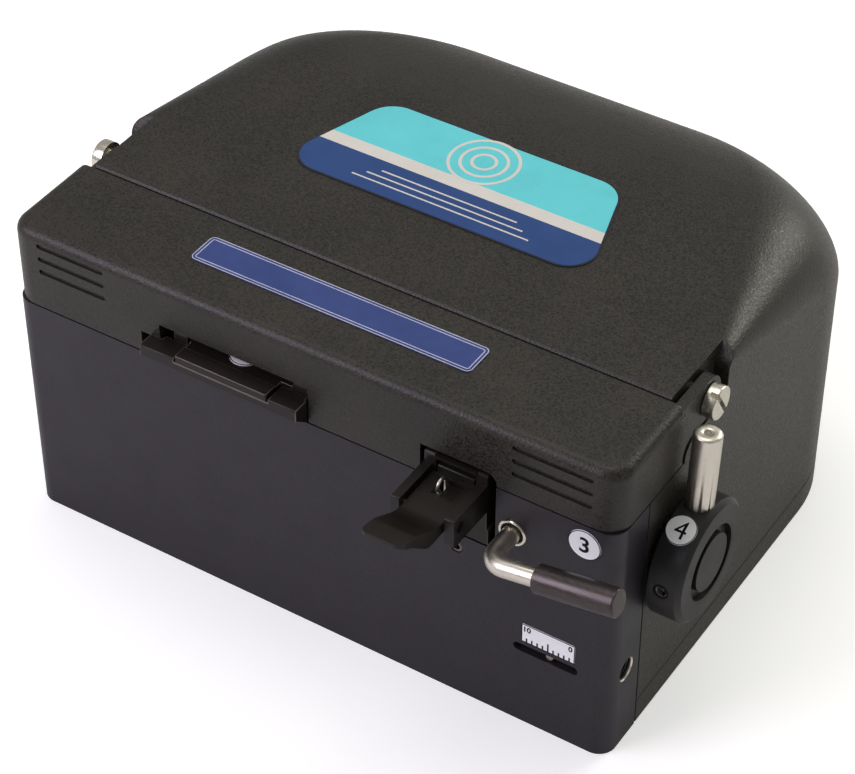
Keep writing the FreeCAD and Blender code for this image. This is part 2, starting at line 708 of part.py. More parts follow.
def tension_spring():
    """Coil on the lower guide rod that pushes the carriage to the right."""
    tube = rod_x(GUIDE_Y, GUIDE_LOW_Z, 2.2, 72.7, CARRIAGE_LEFT)
    return tube.cut(rod_x(GUIDE_Y, GUIDE_LOW_Z, 1.55, 72, 78))


def guide_rod(z):
    return rod_x(GUIDE_Y, z, GUIDE_R, 70.2, 102.3)


def rod_bracket():
    """Two ears behind the front frame that hold the guide rods."""
    left = box(70.0, 72.5, FRAME_DEPTH, 14.2, 21.0, 38.0)
    right = box(100.0, 102.5, FRAME_DEPTH, 14.2, 21.0, 38.0)
    bar = box(70.0, 102.5, FRAME_DEPTH, 14.2, 20.5, 23.5)
    bracket = fuse(left, right, bar)
    for z in (GUIDE_LOW_Z, GUIDE_HIGH_Z):
        bracket = bracket.cut(rod_x(GUIDE_Y, z, GUIDE_R, 69, 104))
    return bracket


# --------------------------------------------------------------------- lever
def lever_bushing():
    """Sleeve bearing of the lever, standing a little proud of the frame."""
    ring = rod_y(LEVER_X, LEVER_Z, 2.33, -0.35, FRAME_DEPTH)
    ring = bevel_edges(ring, 0.2, lambda e, m: near(m.y, -0.35))
    return ring.cut(rod_y(LEVER_X, LEVER_Z, LEVER_R + RUNNING, -1, FRAME_DEPTH + 1))


def along_lever(distance):
    """Point on the lever's arm, at a distance from its turning axis."""
    x = LEVER_X + distance * math.cos(LEVER_RISE)
    z = LEVER_Z + distance * math.sin(LEVER_RISE)
    return Vector(x, -LEVER_OUT, z)


def lever_rod():
    """Round rod, bent once: the axle, then the arm."""
    axle = rod_y(LEVER_X, LEVER_Z, LEVER_R, -LEVER_OUT + LEVER_BEND, 10.4)
    bend_in = Vector(LEVER_X, -LEVER_OUT + LEVER_BEND, LEVER_Z)
    outward = (along_lever(1) - along_lever(0)).normalize()
    centre = bend_in + outward * LEVER_BEND
    section = Part.Face(Part.Wire(Part.makeCircle(LEVER_R, bend_in, Vector(0, 1, 0))))
    bend = section.revolve(centre, outward.cross(Vector(0, 1, 0)), 90)
    arm = Part.makeCylinder(LEVER_R, 22.4 - LEVER_BEND, along_lever(LEVER_BEND), outward)
    return fuse(axle, bend, arm)


def lever_sleeve():
    """Grip sleeve over the end of the arm, with a flat end."""
    direction = (along_lever(1) - along_lever(0)).normalize()
    sleeve = Part.makeCylinder(2.25, 14.5, along_lever(8.7), direction)
    sleeve = bevel_edges(sleeve, 0.2, lambda e, m: e.Length > 10)
    return sleeve.cut(Part.makeCylinder(LEVER_R, 13.7, along_lever(8.7), direction))


def lever_crank():
    """Disc behind the frame with the pin that moves the carriage."""
    disc = rod_y(LEVER_X, LEVER_Z, 2.9, 9.5, 10.4)
    disc = disc.cut(rod_y(LEVER_X, LEVER_Z, LEVER_R, 9, 10.4))
    pin = rod_y(LEVER_X, LEVER_Z + CRANK_THROW, CRANK_PIN_R, 10.4, 12.9)
    cap = rod_y(LEVER_X, LEVER_Z, 2.9, 10.4, 10.5)
    return fuse(disc, cap, pin)


def disc_3():
    """Step disc on the front frame, above the lever."""
    return rod_y(104.5, 43.1, 2.7, -0.2, 0)


# -------------------------------------------------------------- tension screw
def adjusting_screw():
    """Screw in the frame's right side that sets the fibre tension."""
    shaft = rod_x(SCREW_Y, SCREW_Z, 1.5, 88.8, 106.0)
    head = rod_x(SCREW_Y, SCREW_Z, 2.3, 106.0, 108.4)
    screw = fuse(shaft, head)
    points = []
    for step in range(6):
        angle = math.radians(60 * step)
        points.append((SCREW_Y + 1.44 * math.cos(angle), SCREW_Z + 1.44 * math.sin(angle), 0))
    return screw.cut(side_profile(points, 107.0, 109.0))


def pointer_nut():
    """Nut on the tension screw, with the pointer seen through the slot."""
    block = box(POINTER_X - 2, POINTER_X + 2, 3.0, 8.6, 13.2, 18.0)
    pointer = rod_y(POINTER_X, POINTER_Z, 1.0, 2.5, 3.0)
    nut = fuse(block, pointer)
    return nut.cut(rod_x(SCREW_Y, SCREW_Z, 1.5 + RUNNING, 90, 110))


def scale_plate():
    """Thin label over the slot, for the tension scale."""
    corners = [(94.55, 17.75, 0.3), (103.85, 17.75, 0.3), (103.85, 21.5, 0.3), (94.55, 21.5, 0.3)]
    return front_profile(corners, -0.12, 0)


# ---------------------------------------------------------------------- knob
def spoke(angle, distance):
    """Point in the knob's middle plane; the angle is from the back, upward."""
    y = KNOB_Y + distance * math.cos(angle)
    z = KNOB_Z + distance * math.sin(angle)
    return Vector(KNOB_PIN_X, y, z)


def spoke_rod(angle, radius, inner, outer):
    """Cylinder along a knob radius."""
    start = spoke(angle, inner)
    direction = (spoke(angle, outer) - start).normalize()
    return Part.makeCylinder(radius, outer - inner, start, direction)


PIN_ANGLE = math.radians(90) - KNOB_PIN_LEAN
SET_SCREW_ANGLE = math.radians(176)
DISC_4_ANGLE = math.radians(118)


def knob():
    """Round knob with a ring groove, a pin hole and a set-screw hole."""
    half = [
        (KNOB_INNER_X, SHAFT_R + 0.02),
        (KNOB_INNER_X, KNOB_R - 0.3),
        (KNOB_INNER_X + 0.3, KNOB_R),
        (KNOB_OUTER_X - 0.8, KNOB_R),
        (KNOB_OUTER_X, KNOB_R - 0.8),
        (KNOB_OUTER_X, 6.75),
        (KNOB_OUTER_X - 3.5, 6.75),
        (KNOB_OUTER_X - 3.5, 4.8),
        (KNOB_OUTER_X, 4.8),
        (KNOB_OUTER_X, 0),
        (KNOB_OUTER_X - 2.1, 0),
        (KNOB_OUTER_X - 2.1, SHAFT_R + 0.02),
    ]
    points = [Vector(x, KNOB_Y, KNOB_Z + r) for x, r in half]
    face = Part.Face(Part.makePolygon(points + points[:1]))
    turned = face.revolve(Vector(0, KNOB_Y, KNOB_Z), Vector(1, 0, 0), 360)
    turned = turned.cut(spoke_rod(PIN_ANGLE, KNOB_PIN_R, 7.1, 12))
    return turned.cut(spoke_rod(SET_SCREW_ANGLE, 1.0, 7.1, 12))


def knob_pin():
    """Steel actuating pin, with a centre mark in its end."""
    pin = spoke_rod(PIN_ANGLE, KNOB_PIN_R, 7.1, 23.35)
    pin = bevel_edges(pin, 0.35, lambda e, m: m.z > KNOB_Z + 20 and e.Length > 5 and e.Length < 14.5)
    direction = (spoke(PIN_ANGLE, 1) - spoke(PIN_ANGLE, 0)).normalize()
    mark = Part.makeCone(0.0, 0.75, 0.8, spoke(PIN_ANGLE, 22.551), direction)
    return pin.cut(mark)


def knob_set_screw():
    screw = spoke_rod(SET_SCREW_ANGLE, 1.0, 7.1, 9.2)
    return screw.cut(spoke_rod(SET_SCREW_ANGLE, 0.45, 8.3, 9.5))


def disc_4():
    """Step disc wrapped on the knob's rim."""
    ring = rod_x(KNOB_Y, KNOB_Z, KNOB_R + 0.15, KNOB_INNER_X, KNOB_OUTER_X)
    ring = ring.cut(rod_x(KNOB_Y, KNOB_Z, KNOB_R, KNOB_INNER_X - 1, KNOB_OUTER_X + 1))
    return ring.common(spoke_rod(DISC_4_ANGLE, 2.4, 7, 12))


def knob_shaft():
    return rod_x(KNOB_Y, KNOB_Z, SHAFT_R, 54.2, KNOB_OUTER_X - 2.1)


def shaft_bearing():
    """Bearing bush in the housing's right wall."""
    bush = rod_x(KNOB_Y, KNOB_Z, 4.5, 105.2, WIDTH + 0.4)
    return bush.cut(rod_x(KNOB_Y, KNOB_Z, SHAFT_R + RUNNING, 100, WIDTH + 1))


def blade_cam():
    """Eccentric on the knob's shaft that lifts the blade arm."""
    turn = math.radians(100)
    y = KNOB_Y + CAM_THROW * math.sin(turn)
    z = KNOB_Z + CAM_THROW * math.cos(turn)
    disc = rod_x(y, z, CAM_R, 62.0, 68.0)
    return disc.cut(rod_x(KNOB_Y, KNOB_Z, SHAFT_R + 0.02, 61, 69))


# --------------------------------------------------------------- blade drive
def blade_arm():
    """Swinging arm that carries the transducer and the blade."""
    bar = box(60.0, 70.0, 9.8, ARM_PIVOT_Y, ARM_BOTTOM, ARM_TOP)
    hub = rod_x(ARM_PIVOT_Y, ARM_PIVOT_Z, 3.0, 59.2, 70.8)
    saddle = box(61.5, 68.5, 25.0, 40.0, ARM_TOP - 0.5, 40.2)
    arm = fuse(bar, hub, saddle)
    arm = arm.cut(rod_y(BLADE_X, 44.0, 5.65, 20, 44))
    return arm.cut(rod_x(ARM_PIVOT_Y, ARM_PIVOT_Z, 1.5 + RUNNING, 50, 80))


def blade_arm_pin():
    return rod_x(ARM_PIVOT_Y, ARM_PIVOT_Z, 1.5, 56.2, 73.8)


def transducer():
    """Piezo transducer: a thick stack between two thinner ends."""
    stack = rod_y(BLADE_X, 44.05, 5.6, 27.0, 38.0)
    ends = rod_y(BLADE_X, 44.05, 4.2, 23.5, 42.0)
    return fuse(stack, ends)


def blade_holder():
    return box(62.8, 67.2, 9.9, 14.0, ARM_TOP, 39.6)


def blade():
    """Diamond blade, its edge just below the fibre."""
    edge = [
        (FIBRE_Y - 1.0, 39.6, 0),
        (FIBRE_Y + 1.0, 39.6, 0),
        (FIBRE_Y + 1.0, 43.5, 0),
        (FIBRE_Y, 43.9, 0),
        (FIBRE_Y - 1.0, 43.5, 0),
    ]
    return side_profile(edge, BLADE_X - 0.35, BLADE_X + 0.35)


def blade_stand():
    """Casting on the base that holds the arm's pivot and the shaft's end."""
    pad = box(54.0, 76.0, 12.0, 50.0, BASE_THICK, 7.4)
    pieces = []
    for x in (56.0, 71.2):
        ear = [(40.0, 6.0, 0), (50.0, 6.0, 0), (48.5, 41.0, 0), (41.5, 41.0, 0)]
        pieces.append(side_profile(ear, x, x + 2.8))
    post = [(12.5, 6.0, 0), (23.0, 6.0, 0), (22.5, 36.6, 0), (13.0, 36.6, 0)]
    pieces.append(side_profile(post, 54.4, 58.0))
    stand = fuse(pad, *pieces)
    stand = stand.cut(rod_x(ARM_PIVOT_Y, ARM_PIVOT_Z, 1.5, 50, 80))
    return stand.cut(rod_x(KNOB_Y, KNOB_Z, SHAFT_R + RUNNING, 50, 60))


def microswitch():
    """Switch that starts the blade drive, with its lever."""
    case = box(78.0, 84.4, 20.0, 32.8, BASE_THICK, 11.8)
    lever = [(20.4, 11.8, 0), (21.0, 11.8, 0), (31.5, 13.4, 0), (31.5, 13.8, 0)]
    return fuse(case, side_profile(lever, 79.5, 82.9))


def driver_board():
    """Circuit board of the blade drive, on four standoffs."""
    board = box(10.0, 48.0, 28.0, 70.0, 9.0, 10.6)
    coil = rod_z(20.0, 42.0, 6.0, 10.6, 18.0)
    chip = box(30.0, 42.0, 38.0, 46.0, 10.6, 12.2)
    capacitor = rod_z(20.0, 60.0, 4.0, 10.6, 22.0)
    connector = box(30.0, 44.0, 58.0, 64.0, 10.6, 16.0)
    return fuse(board, coil, chip, capacitor, connector)


def battery():
    """Battery pack above the service cover."""
    corners = [(64.0, 53.0, 3.0), (96.0, 53.0, 3.0), (96.0, 65.4, 3.0), (64.0, 65.4, 3.0)]
    return plan_profile(corners, 2.2, 19.0)


# -------------------------------------------------------------------- export
def build_parts():
    """Every piece of the cleaver, by name."""
    parts = {
        "front_frame": front_frame(),
        "base_plate": base_plate(),
        "rear_housing": rear_housing(),
        "deck": deck(),
        "service_cover": service_cover(),
        "top_label": top_label(),
        "lid": lid(),
        "lid_strip": lid_strip(),
        "hinge_screw_left": hinge_screw("left"),
        "hinge_screw_right": hinge_screw("right"),
        "left_rest": left_rest(),
        "left_clamp_block": left_clamp_block(),
        "left_cover": left_cover(),
        "left_pad": left_pad(),
        "left_cover_pin": left_cover_pin(),
        "disc_1": disc_1(),
        "carriage": carriage(),
        "clamp_bracket": clamp_bracket(),
        "tongue": tongue(),
        "tongue_pin": tongue_pin(),
        "jaw_pad": jaw_pad(),
        "spring_hook": spring_hook(),
        "tension_spring": tension_spring(),
        "guide_rod_low": guide_rod(GUIDE_LOW_Z),
        "guide_rod_high": guide_rod(GUIDE_HIGH_Z),
        "rod_bracket": rod_bracket(),
        "lever_bushing": lever_bushing(),
        "lever_rod": lever_rod(),
        "lever_sleeve": lever_sleeve(),
        "lever_crank": lever_crank(),
        "disc_3": disc_3(),
        "adjusting_screw": adjusting_screw(),
        "pointer_nut": pointer_nut(),
        "scale_plate": scale_plate(),
        "knob": knob(),
        "knob_pin": knob_pin(),
        "knob_set_screw": knob_set_screw(),
        "disc_4": disc_4(),
        "knob_shaft": knob_shaft(),
        "shaft_bearing": shaft_bearing(),
        "blade_cam": blade_cam(),
        "blade_arm": blade_arm(),
        "blade_arm_pin": blade_arm_pin(),
        "transducer": transducer(),
        "blade_holder": blade_holder(),
        "blade": blade(),
        "blade_stand": blade_stand(),
        "microswitch": microswitch(),
        "driver_board": driver_board(),
        "battery": battery(),
    }
    for name, place in foot_places().items():
        parts[name] = foot(place)
    return parts


def export(parts):
    """Write one STEP file per piece, with the origin under the body's middle."""
    os.makedirs("parts", exist_ok=True)
    for name, shape in parts.items():
        shape.translate(Vector(-WIDTH / 2, -DEPTH / 2, 0))
        shape.exportStep("parts/" + name + ".step")


export(build_parts())
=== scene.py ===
import json
import logging
import math
from dataclasses import dataclass, field
from enum import Enum
from functools import cache
from typing import Sequence

import bmesh
import bpy
from mathutils import Matrix, Vector

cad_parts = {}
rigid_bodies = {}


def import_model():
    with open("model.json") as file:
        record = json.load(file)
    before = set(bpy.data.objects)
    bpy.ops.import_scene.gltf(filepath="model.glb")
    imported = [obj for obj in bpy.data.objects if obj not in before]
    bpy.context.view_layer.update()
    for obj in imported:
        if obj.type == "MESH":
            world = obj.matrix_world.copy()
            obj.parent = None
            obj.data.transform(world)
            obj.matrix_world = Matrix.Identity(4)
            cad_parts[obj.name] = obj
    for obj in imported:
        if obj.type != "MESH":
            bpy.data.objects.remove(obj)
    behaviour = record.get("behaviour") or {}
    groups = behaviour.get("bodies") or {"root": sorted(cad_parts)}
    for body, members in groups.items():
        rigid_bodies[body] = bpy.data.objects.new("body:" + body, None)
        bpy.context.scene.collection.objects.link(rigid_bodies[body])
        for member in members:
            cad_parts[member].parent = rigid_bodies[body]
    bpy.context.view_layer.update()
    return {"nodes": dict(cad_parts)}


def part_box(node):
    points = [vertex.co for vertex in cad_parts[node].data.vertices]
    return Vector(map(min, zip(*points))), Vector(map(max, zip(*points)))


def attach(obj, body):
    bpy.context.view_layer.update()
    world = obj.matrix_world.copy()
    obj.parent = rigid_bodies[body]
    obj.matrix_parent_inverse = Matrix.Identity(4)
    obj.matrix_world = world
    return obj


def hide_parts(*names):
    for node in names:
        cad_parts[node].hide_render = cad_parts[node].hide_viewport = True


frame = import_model()
LOG = logging.getLogger("fibre_cleaver")
MM = 0.001
RIGHT = Vector((1, 0, 0))
BACK = Vector((0, 1, 0))
UP = Vector((0, 0, 1))
ORIGIN = Vector((0, 0, 0))

Colour = tuple[float, float, float]
Sizes = tuple[float, ...]
Profile = Sequence[Sizes]
Shape = bmesh.types.BMesh
Socket = bpy.types.NodeSocket


class Body(Enum):
    """Rigid bodies that pieces ride on."""

    BODY = "body"
    LID = "lid"
    LEFT_COVER = "left_cover"
    CARRIAGE = "carriage"
    TONGUE = "tongue"
    LEVER = "lever"
    TENSION_SCREW = "tension_screw"
    POINTER = "pointer"
    KNOB = "knob"
    BLADE = "blade"


def mm(*sizes: float) -> Sizes:
    """Millimetres as metres."""
    return tuple(size * MM for size in sizes)


# ---- finishes
def mapped(tree: bpy.types.NodeTree, value: Socket, *ends: float) -> Socket:
    """Map one range of a value to another, clamped.

    Args:
        tree: The node tree to add to.
        value: The value to map.
        ends: Where its range starts and ends, and what those two become.

    Returns:
        The mapped value.
    """
    node = tree.nodes.new("ShaderNodeMapRange")
    for key, number in zip(("From Min", "From Max", "To Min", "To Max"), ends):
        node.inputs[key].default_value = number
    tree.links.new(value, node.inputs["Value"])
    return node.outputs[0]


class Shader:
    """One material under construction, with its Principled shader."""

    def __init__(self, name: str) -> None:
        """Start an empty node material.

        Args:
            name: The material's name.
        """
        self.material = bpy.data.materials.new(name)
        self.material.use_nodes = True
        self.tree = self.material.node_tree
        self.tree.nodes.clear()
        self.out = self.tree.nodes.new("ShaderNodeOutputMaterial")
        self.surface = self.tree.nodes.new("ShaderNodeBsdfPrincipled")
        self.link(self.surface.outputs[0], self.out.inputs["Surface"])
        self.place = self.tree.nodes.new("ShaderNodeTexCoord").outputs["Object"]

    def link(self, source: Socket, target: Socket) -> None:
        """Join an output to an input."""
        self.tree.links.new(source, target)

    def set(self, **values: float | Sequence[float]) -> None:
        """Set constants on the Principled shader.

        Args:
            values: Socket names, with underscores for spaces, and their values.
        """
        for key, value in values.items():
            socket = key.replace("_", " ").title().replace("Ior", "IOR")
            self.surface.inputs[socket].default_value = value

    def stretched(self, scale: Sequence[float]) -> Socket:
        """Object coordinates scaled along each axis.

        Args:
            scale: Factors along X, Y and Z.

        Returns:
            The scaled coordinates.
        """
        node = self.tree.nodes.new("ShaderNodeMapping")
        node.inputs["Scale"].default_value = scale
        self.link(self.place, node.inputs["Vector"])
        return node.outputs[0]

    def noise(self, size: float, detail: float = 2.0, rough: float = 0.5, at: Socket | None = None) -> Socket:
        """Noise whose blobs are about size metres across.

        Args:
            size: Blob size in metres.
            detail: Octaves of finer noise.
            rough: Strength of the finer octaves.
            at: Coordinates, or None for plain object coordinates.

        Returns:
            The noise value.
        """
        node = self.tree.nodes.new("ShaderNodeTexNoise")
        node.inputs["Scale"].default_value = 1.0 / size
        node.inputs["Detail"].default_value = detail
        node.inputs["Roughness"].default_value = rough
        self.link(at or self.place, node.inputs["Vector"])
        return node.outputs["Fac"]

    def grains(self, size: float) -> Socket:
        """Distance inside Voronoi cells.

        Args:
            size: Cell size in metres.

        Returns:
            The distance from each cell's middle.
        """
        node = self.tree.nodes.new("ShaderNodeTexVoronoi")
        node.inputs["Scale"].default_value = 1.0 / size
        self.link(self.place, node.inputs["Vector"])
        return node.outputs["Distance"]

    def ramp(self, value: Socket, *ends: float) -> Socket:
        """Map one range of a value to another, clamped."""
        return mapped(self.tree, value, *ends)

    def math(self, operation: str, first: Socket | float, second: Socket | float) -> Socket:
        """One math node.

        Args:
            operation: The node's operation.
            first: A socket or a number.
            second: A socket or a number.

        Returns:
            The result.
        """
        node = self.tree.nodes.new("ShaderNodeMath")
        node.operation = operation
        for socket, value in zip(node.inputs, (first, second)):
            if isinstance(value, (int, float)):
                socket.default_value = value
            else:
                self.link(value, socket)
        return node.outputs[0]

    def weigh(self, first: Socket, share: float, second: Socket) -> Socket:
        """A share of one value plus the rest of another."""
        return self.math("ADD", self.math("MULTIPLY", first, share), self.math("MULTIPLY", second, 1 - share))

    def mix(self, amount: Socket, first: Colour | Socket, second: Colour | Socket) -> Socket:
        """Blend two colours.

        Args:
            amount: Share of the second colour.
            first: A constant or a socket.
            second: A constant or a socket.

        Returns:
            The blended colour.
        """
        node = self.tree.nodes.new("ShaderNodeMix")
        node.data_type = "RGBA"
        self.link(amount, node.inputs["Factor"])
        for socket, value in zip((node.inputs[6], node.inputs[7]), (first, second)):
            if isinstance(value, tuple):
                socket.default_value = (*value, 1.0)
            else:
                self.link(value, socket)
        return node.outputs[2]

    def bump(self, height: Socket, depth: float) -> None:
        """Bump the surface by height times depth metres.

        Args:
            height: The height pattern.
            depth: Metres for a height of one.
        """
        node = self.tree.nodes.new("ShaderNodeBump")
        node.inputs["Strength"].default_value = 1.0
        node.inputs["Distance"].default_value = depth
        self.link(height, node.inputs["Height"])
        self.link(node.outputs[0], self.surface.inputs["Normal"])

    def worn_and_lit(self) -> Socket:
        """One on faces marked for wear and a painted edge highlight, zero elsewhere."""
        node = self.tree.nodes.new("ShaderNodeAttribute")
        node.attribute_name = "worn_and_lit"
        return node.outputs["Fac"]

    def mottled(self, value: Socket, low: float, high: float, colour: Colour, contrast: float) -> Socket:
        """A colour that goes darker and lighter with a range of a value."""
        dark, light = scaled(colour, 1 - contrast), scaled(colour, 1 + contrast)
        return self.mix(self.ramp(value, low, high, 0, 1), dark, light)

    def paint(self, base: Socket, worn_lit_mask: Socket, wear_and_highlight: Colour) -> None:
        """Set the base colour, and another on the marked edges, which stands for wear and a painted edge
        highlight.
        """
        self.link(self.mix(worn_lit_mask, base, wear_and_highlight), self.surface.inputs["Base Color"])

    def gloss(self, value: Socket, *ends: float) -> None:
        """Set the roughness from a range of a value."""
        self.link(self.ramp(value, *ends), self.surface.inputs["Roughness"])


def scaled(colour: Colour, factor: float) -> Colour:
    """A colour made darker or lighter, up to white."""
    red, green, blue = (min(1.0, part * factor) for part in colour)
    return red, green, blue


@dataclass(frozen=True)
class PowderCoat:
    """Fine-grained powder coat on a metal cover, a little lighter along its edges for wear and a painted edge
    highlight.
    """

    name: str
    colour: Colour
    grain: float = 0.30 * MM
    roughness: float = 0.40
    depth: float = 0.045 * MM
    wear_and_highlight: float = 1.3
    specular: float = 0.34
    patch: float = 14 * MM
    speck: float = 0.55 * MM
    dark: float = 0.45
    light: float = 1.7
    glint: float = 2.6

    def material(self) -> bpy.types.Material:
        """Build the material."""
        shader = Shader(self.name)
        patch = shader.noise(self.patch, 3.0)
        fleck = shader.noise(self.grain * 1.15, 2.0, 0.7)
        tone = shader.ramp(shader.weigh(patch, 0.2, fleck), 0.36, 0.64, 0, 1)
        base = shader.mix(tone, scaled(self.colour, self.dark), scaled(self.colour, self.light))
        # painted glints: random specks far lighter than the paint, standing for sparkle
        speck = shader.ramp(shader.noise(self.speck, 0.0), 0.76, 0.82, 0.0, 0.35)
        base = shader.mix(speck, base, scaled(self.colour, self.glint))
        # painted edge highlight with wear: the marked edges lighter, broken up by the grain
        worn_and_lit = shader.math("MULTIPLY", shader.worn_and_lit(), shader.ramp(fleck, 0.3, 0.6, 0.2, 0.9))
        shader.paint(base, worn_and_lit, scaled(self.colour, self.wear_and_highlight))
        shader.gloss(fleck, 0.3, 0.7, self.roughness - 0.14, self.roughness + 0.16)
        cells = shader.math("MULTIPLY", shader.grains(self.grain * 1.5), 0.6)
        shader.bump(shader.math("ADD", shader.noise(self.grain, 2.0), cells), self.depth)
        shader.set(metallic=0.0, specular_ior_level=self.specular)
        return shader.material


@dataclass(frozen=True)
class SatinMetal:
    """Blasted, brushed or anodised metal, its edges brighter for wear and a painted edge highlight."""

    name: str
    colour: Colour
    roughness: float = 0.35
    metallic: float = 1.0
    grain: Sizes = (1.0, 1.0, 1.0)
    size: float = 0.35 * MM
    depth: float = 0.0005 * MM
    contrast: float = 0.12
    wear_and_highlight: float = 1.5
    specular: float = 0.5
    smear: float = 6 * MM

    def material(self) -> bpy.types.Material:
        """Build the material."""
        shader = Shader(self.name)
        streak = shader.noise(self.size, 3.0, 0.6, shader.stretched(self.grain))
        smear = shader.noise(self.smear, 3.0)
        base = shader.mottled(streak, 0.3, 0.7, self.colour, self.contrast)
        # painted edge highlight with wear: the marked edges lighter, in smeared patches
        worn_and_lit = shader.math("MULTIPLY", shader.worn_and_lit(), shader.ramp(smear, 0.3, 0.6, 0.45, 1.0))
        shader.paint(base, worn_and_lit, scaled(self.colour, self.wear_and_highlight))
        tone = shader.weigh(streak, 0.4, smear)
        shader.gloss(tone, 0.35, 0.65, self.roughness - 0.05, self.roughness + 0.07)
        if self.depth:
            shader.bump(streak, self.depth)
        shader.set(metallic=self.metallic, specular_ior_level=self.specular)
        return shader.material


@dataclass(frozen=True)
class Moulded:
    """Moulded plastic, rubber or a printed surface, with faint unevenness."""

    name: str
    colour: Colour
    roughness: float = 0.5
    size: float = 0.5 * MM
    depth: float = 0.006 * MM
    contrast: float = 0.08
    wear_and_highlight: float = 1.3
    specular: float = 0.5
    smear: float = 7 * MM

    def material(self) -> bpy.types.Material:
        """Build the material."""
        shader = Shader(self.name)
        mottle = shader.noise(self.size, 2.0)
        smear = shader.noise(self.smear, 2.0)
        tone = shader.math("MULTIPLY", shader.math("ADD", mottle, smear), 0.5)
        base = shader.mottled(tone, 0.35, 0.65, self.colour, self.contrast)
        # painted edge highlight with wear: the marked edges lighter
        shader.paint(base, shader.worn_and_lit(), scaled(self.colour, self.wear_and_highlight))
        shader.gloss(smear, 0.3, 0.7, self.roughness - 0.05, self.roughness + 0.05)
        shader.bump(mottle, self.depth)
        shader.set(specular_ior_level=self.specular)
        return shader.material


Finish = PowderCoat | SatinMetal | Moulded


@dataclass(frozen=True)
class Stock:
    """A finish, and the record's material slot that it belongs to."""

    finish: Finish
    slot: str


@cache
def material_of(finish: Finish) -> bpy.types.Material:
    """The material of a finish, built on first use."""
    return finish.material()


def film(name: str, colour: Colour, size: float, contrast: float, roughness: float = 0.3) -> Stock:
    """A printed label's smooth film."""
    return Stock(Moulded(name, colour, roughness, size, 0.0006 * MM, contrast), "label_blue")


STAINLESS = SatinMetal("stainless", (0.74, 0.69, 0.6), 0.33, size=0.5 * MM, depth=0, contrast=0.04, wear_and_highlight=1)
THREAD_STEEL = SatinMetal("thread_steel", (0.16, 0.15, 0.13), 0.3)
PIN_END = SatinMetal("pin_end", (0.42, 0.39, 0.32), 0.4)
# near-black ink for print, also painted shade in hole mouths
INK_AND_SHADE = Moulded("ink_and_painted_shade", (0.004, 0.004, 0.006), 0.5, 0.5 * MM, 0.0005 * MM, 0.1, 1.3, 0.12)

PAINTED = Stock(PowderCoat("housing_paint", (0.0215, 0.019, 0.015)), "housing_paint")
# frame edges lighter: wear and a painted edge highlight
FRAME_FINISH = SatinMetal(
    "frame_finish", (0.019, 0.0155, 0.0215), 0.42, 0.0, size=0.32 * MM, depth=0.0035 * MM,
    contrast=0.42, wear_and_highlight=3.6, specular=0.38,
)
ANODISED = Stock(FRAME_FINISH, "frame_anodised")
# clamp edges much lighter: wear and a strong painted edge highlight
CLAMP_FINISH = SatinMetal(
    "clamp_black", (0.013, 0.0105, 0.0085), 0.38, 0.0, size=0.3 * MM, depth=0.003 * MM,
    contrast=0.2, wear_and_highlight=14.0, specular=0.28,
)
BLACKED = Stock(CLAMP_FINISH, "clamp_black")
KNOB_FINISH = Moulded("knob_black", (0.011, 0.01, 0.01), 0.46, 0.35 * MM, 0.012 * MM, 0.3, 2.0, 0.36)
GRIPPED = Stock(KNOB_FINISH, "knob_black")
POLISHED = Stock(STAINLESS, "stainless")
BRIGHT = Stock(STAINLESS, "nickel")
NICKEL = SatinMetal("nickel", (0.72, 0.68, 0.58), 0.26, size=0.6 * MM, depth=0, contrast=0.05, wear_and_highlight=1)
NICKELLED = Stock(NICKEL, "nickel")
GUNMETAL = SatinMetal(
    "sleeve_gunmetal", (0.074, 0.063, 0.061), 0.32, 0.8, (0.12, 1.0, 1.0), 0.16 * MM, 0.0012 * MM, 0.28, 1.6
)
SLEEVE = Stock(GUNMETAL, "sleeve_gunmetal")
BRONZE = Stock(SatinMetal("bronze", (0.22, 0.15, 0.1), 0.42), "bronze")
SPRUNG = Stock(SatinMetal("spring_steel", (0.66, 0.61, 0.53), 0.3), "spring_steel")
RING_STEEL = Stock(SatinMetal("ring_steel", (0.78, 0.74, 0.64), 0.3), "nickel")
THREADED = Stock(THREAD_STEEL, "nickel")
SCRIBED = Stock(THREAD_STEEL, "stainless")
PIN_FACE = Stock(PIN_END, "stainless")
POINTED = Stock(PIN_END, "bronze")
LABEL_EDGE = Stock(Moulded("label_edge", (0.01, 0.012, 0.022), 0.35, MM, 0.0005 * MM, 0.05), "label_blue")
LABEL_BLUE = film("label_blue", (0.014, 0.056, 0.2), 3.0 * MM, 0.05)
LABEL_CYAN = film("label_cyan", (0.125, 0.64, 0.68), 3.0 * MM, 0.04)
LABEL_PALE = film("label_pale", (0.68, 0.66, 0.6), 3.0 * MM, 0.03)
STRIP_LINE = film("strip_line", (0.5, 0.5, 0.62), 2.0 * MM, 0.12, 0.34)
STRIP_BLUE = Stock(Moulded("strip_blue", (0.026, 0.052, 0.2), 0.34, 2 * MM, 0.001 * MM, 0.08), "label_blue")
PAPER = Stock(Moulded("label_white", (0.94, 0.95, 0.97), 0.36, 1.0 * MM, 0.0005 * MM, 0.02), "label_white")
PRINT = Stock(INK_AND_SHADE, "label_white")
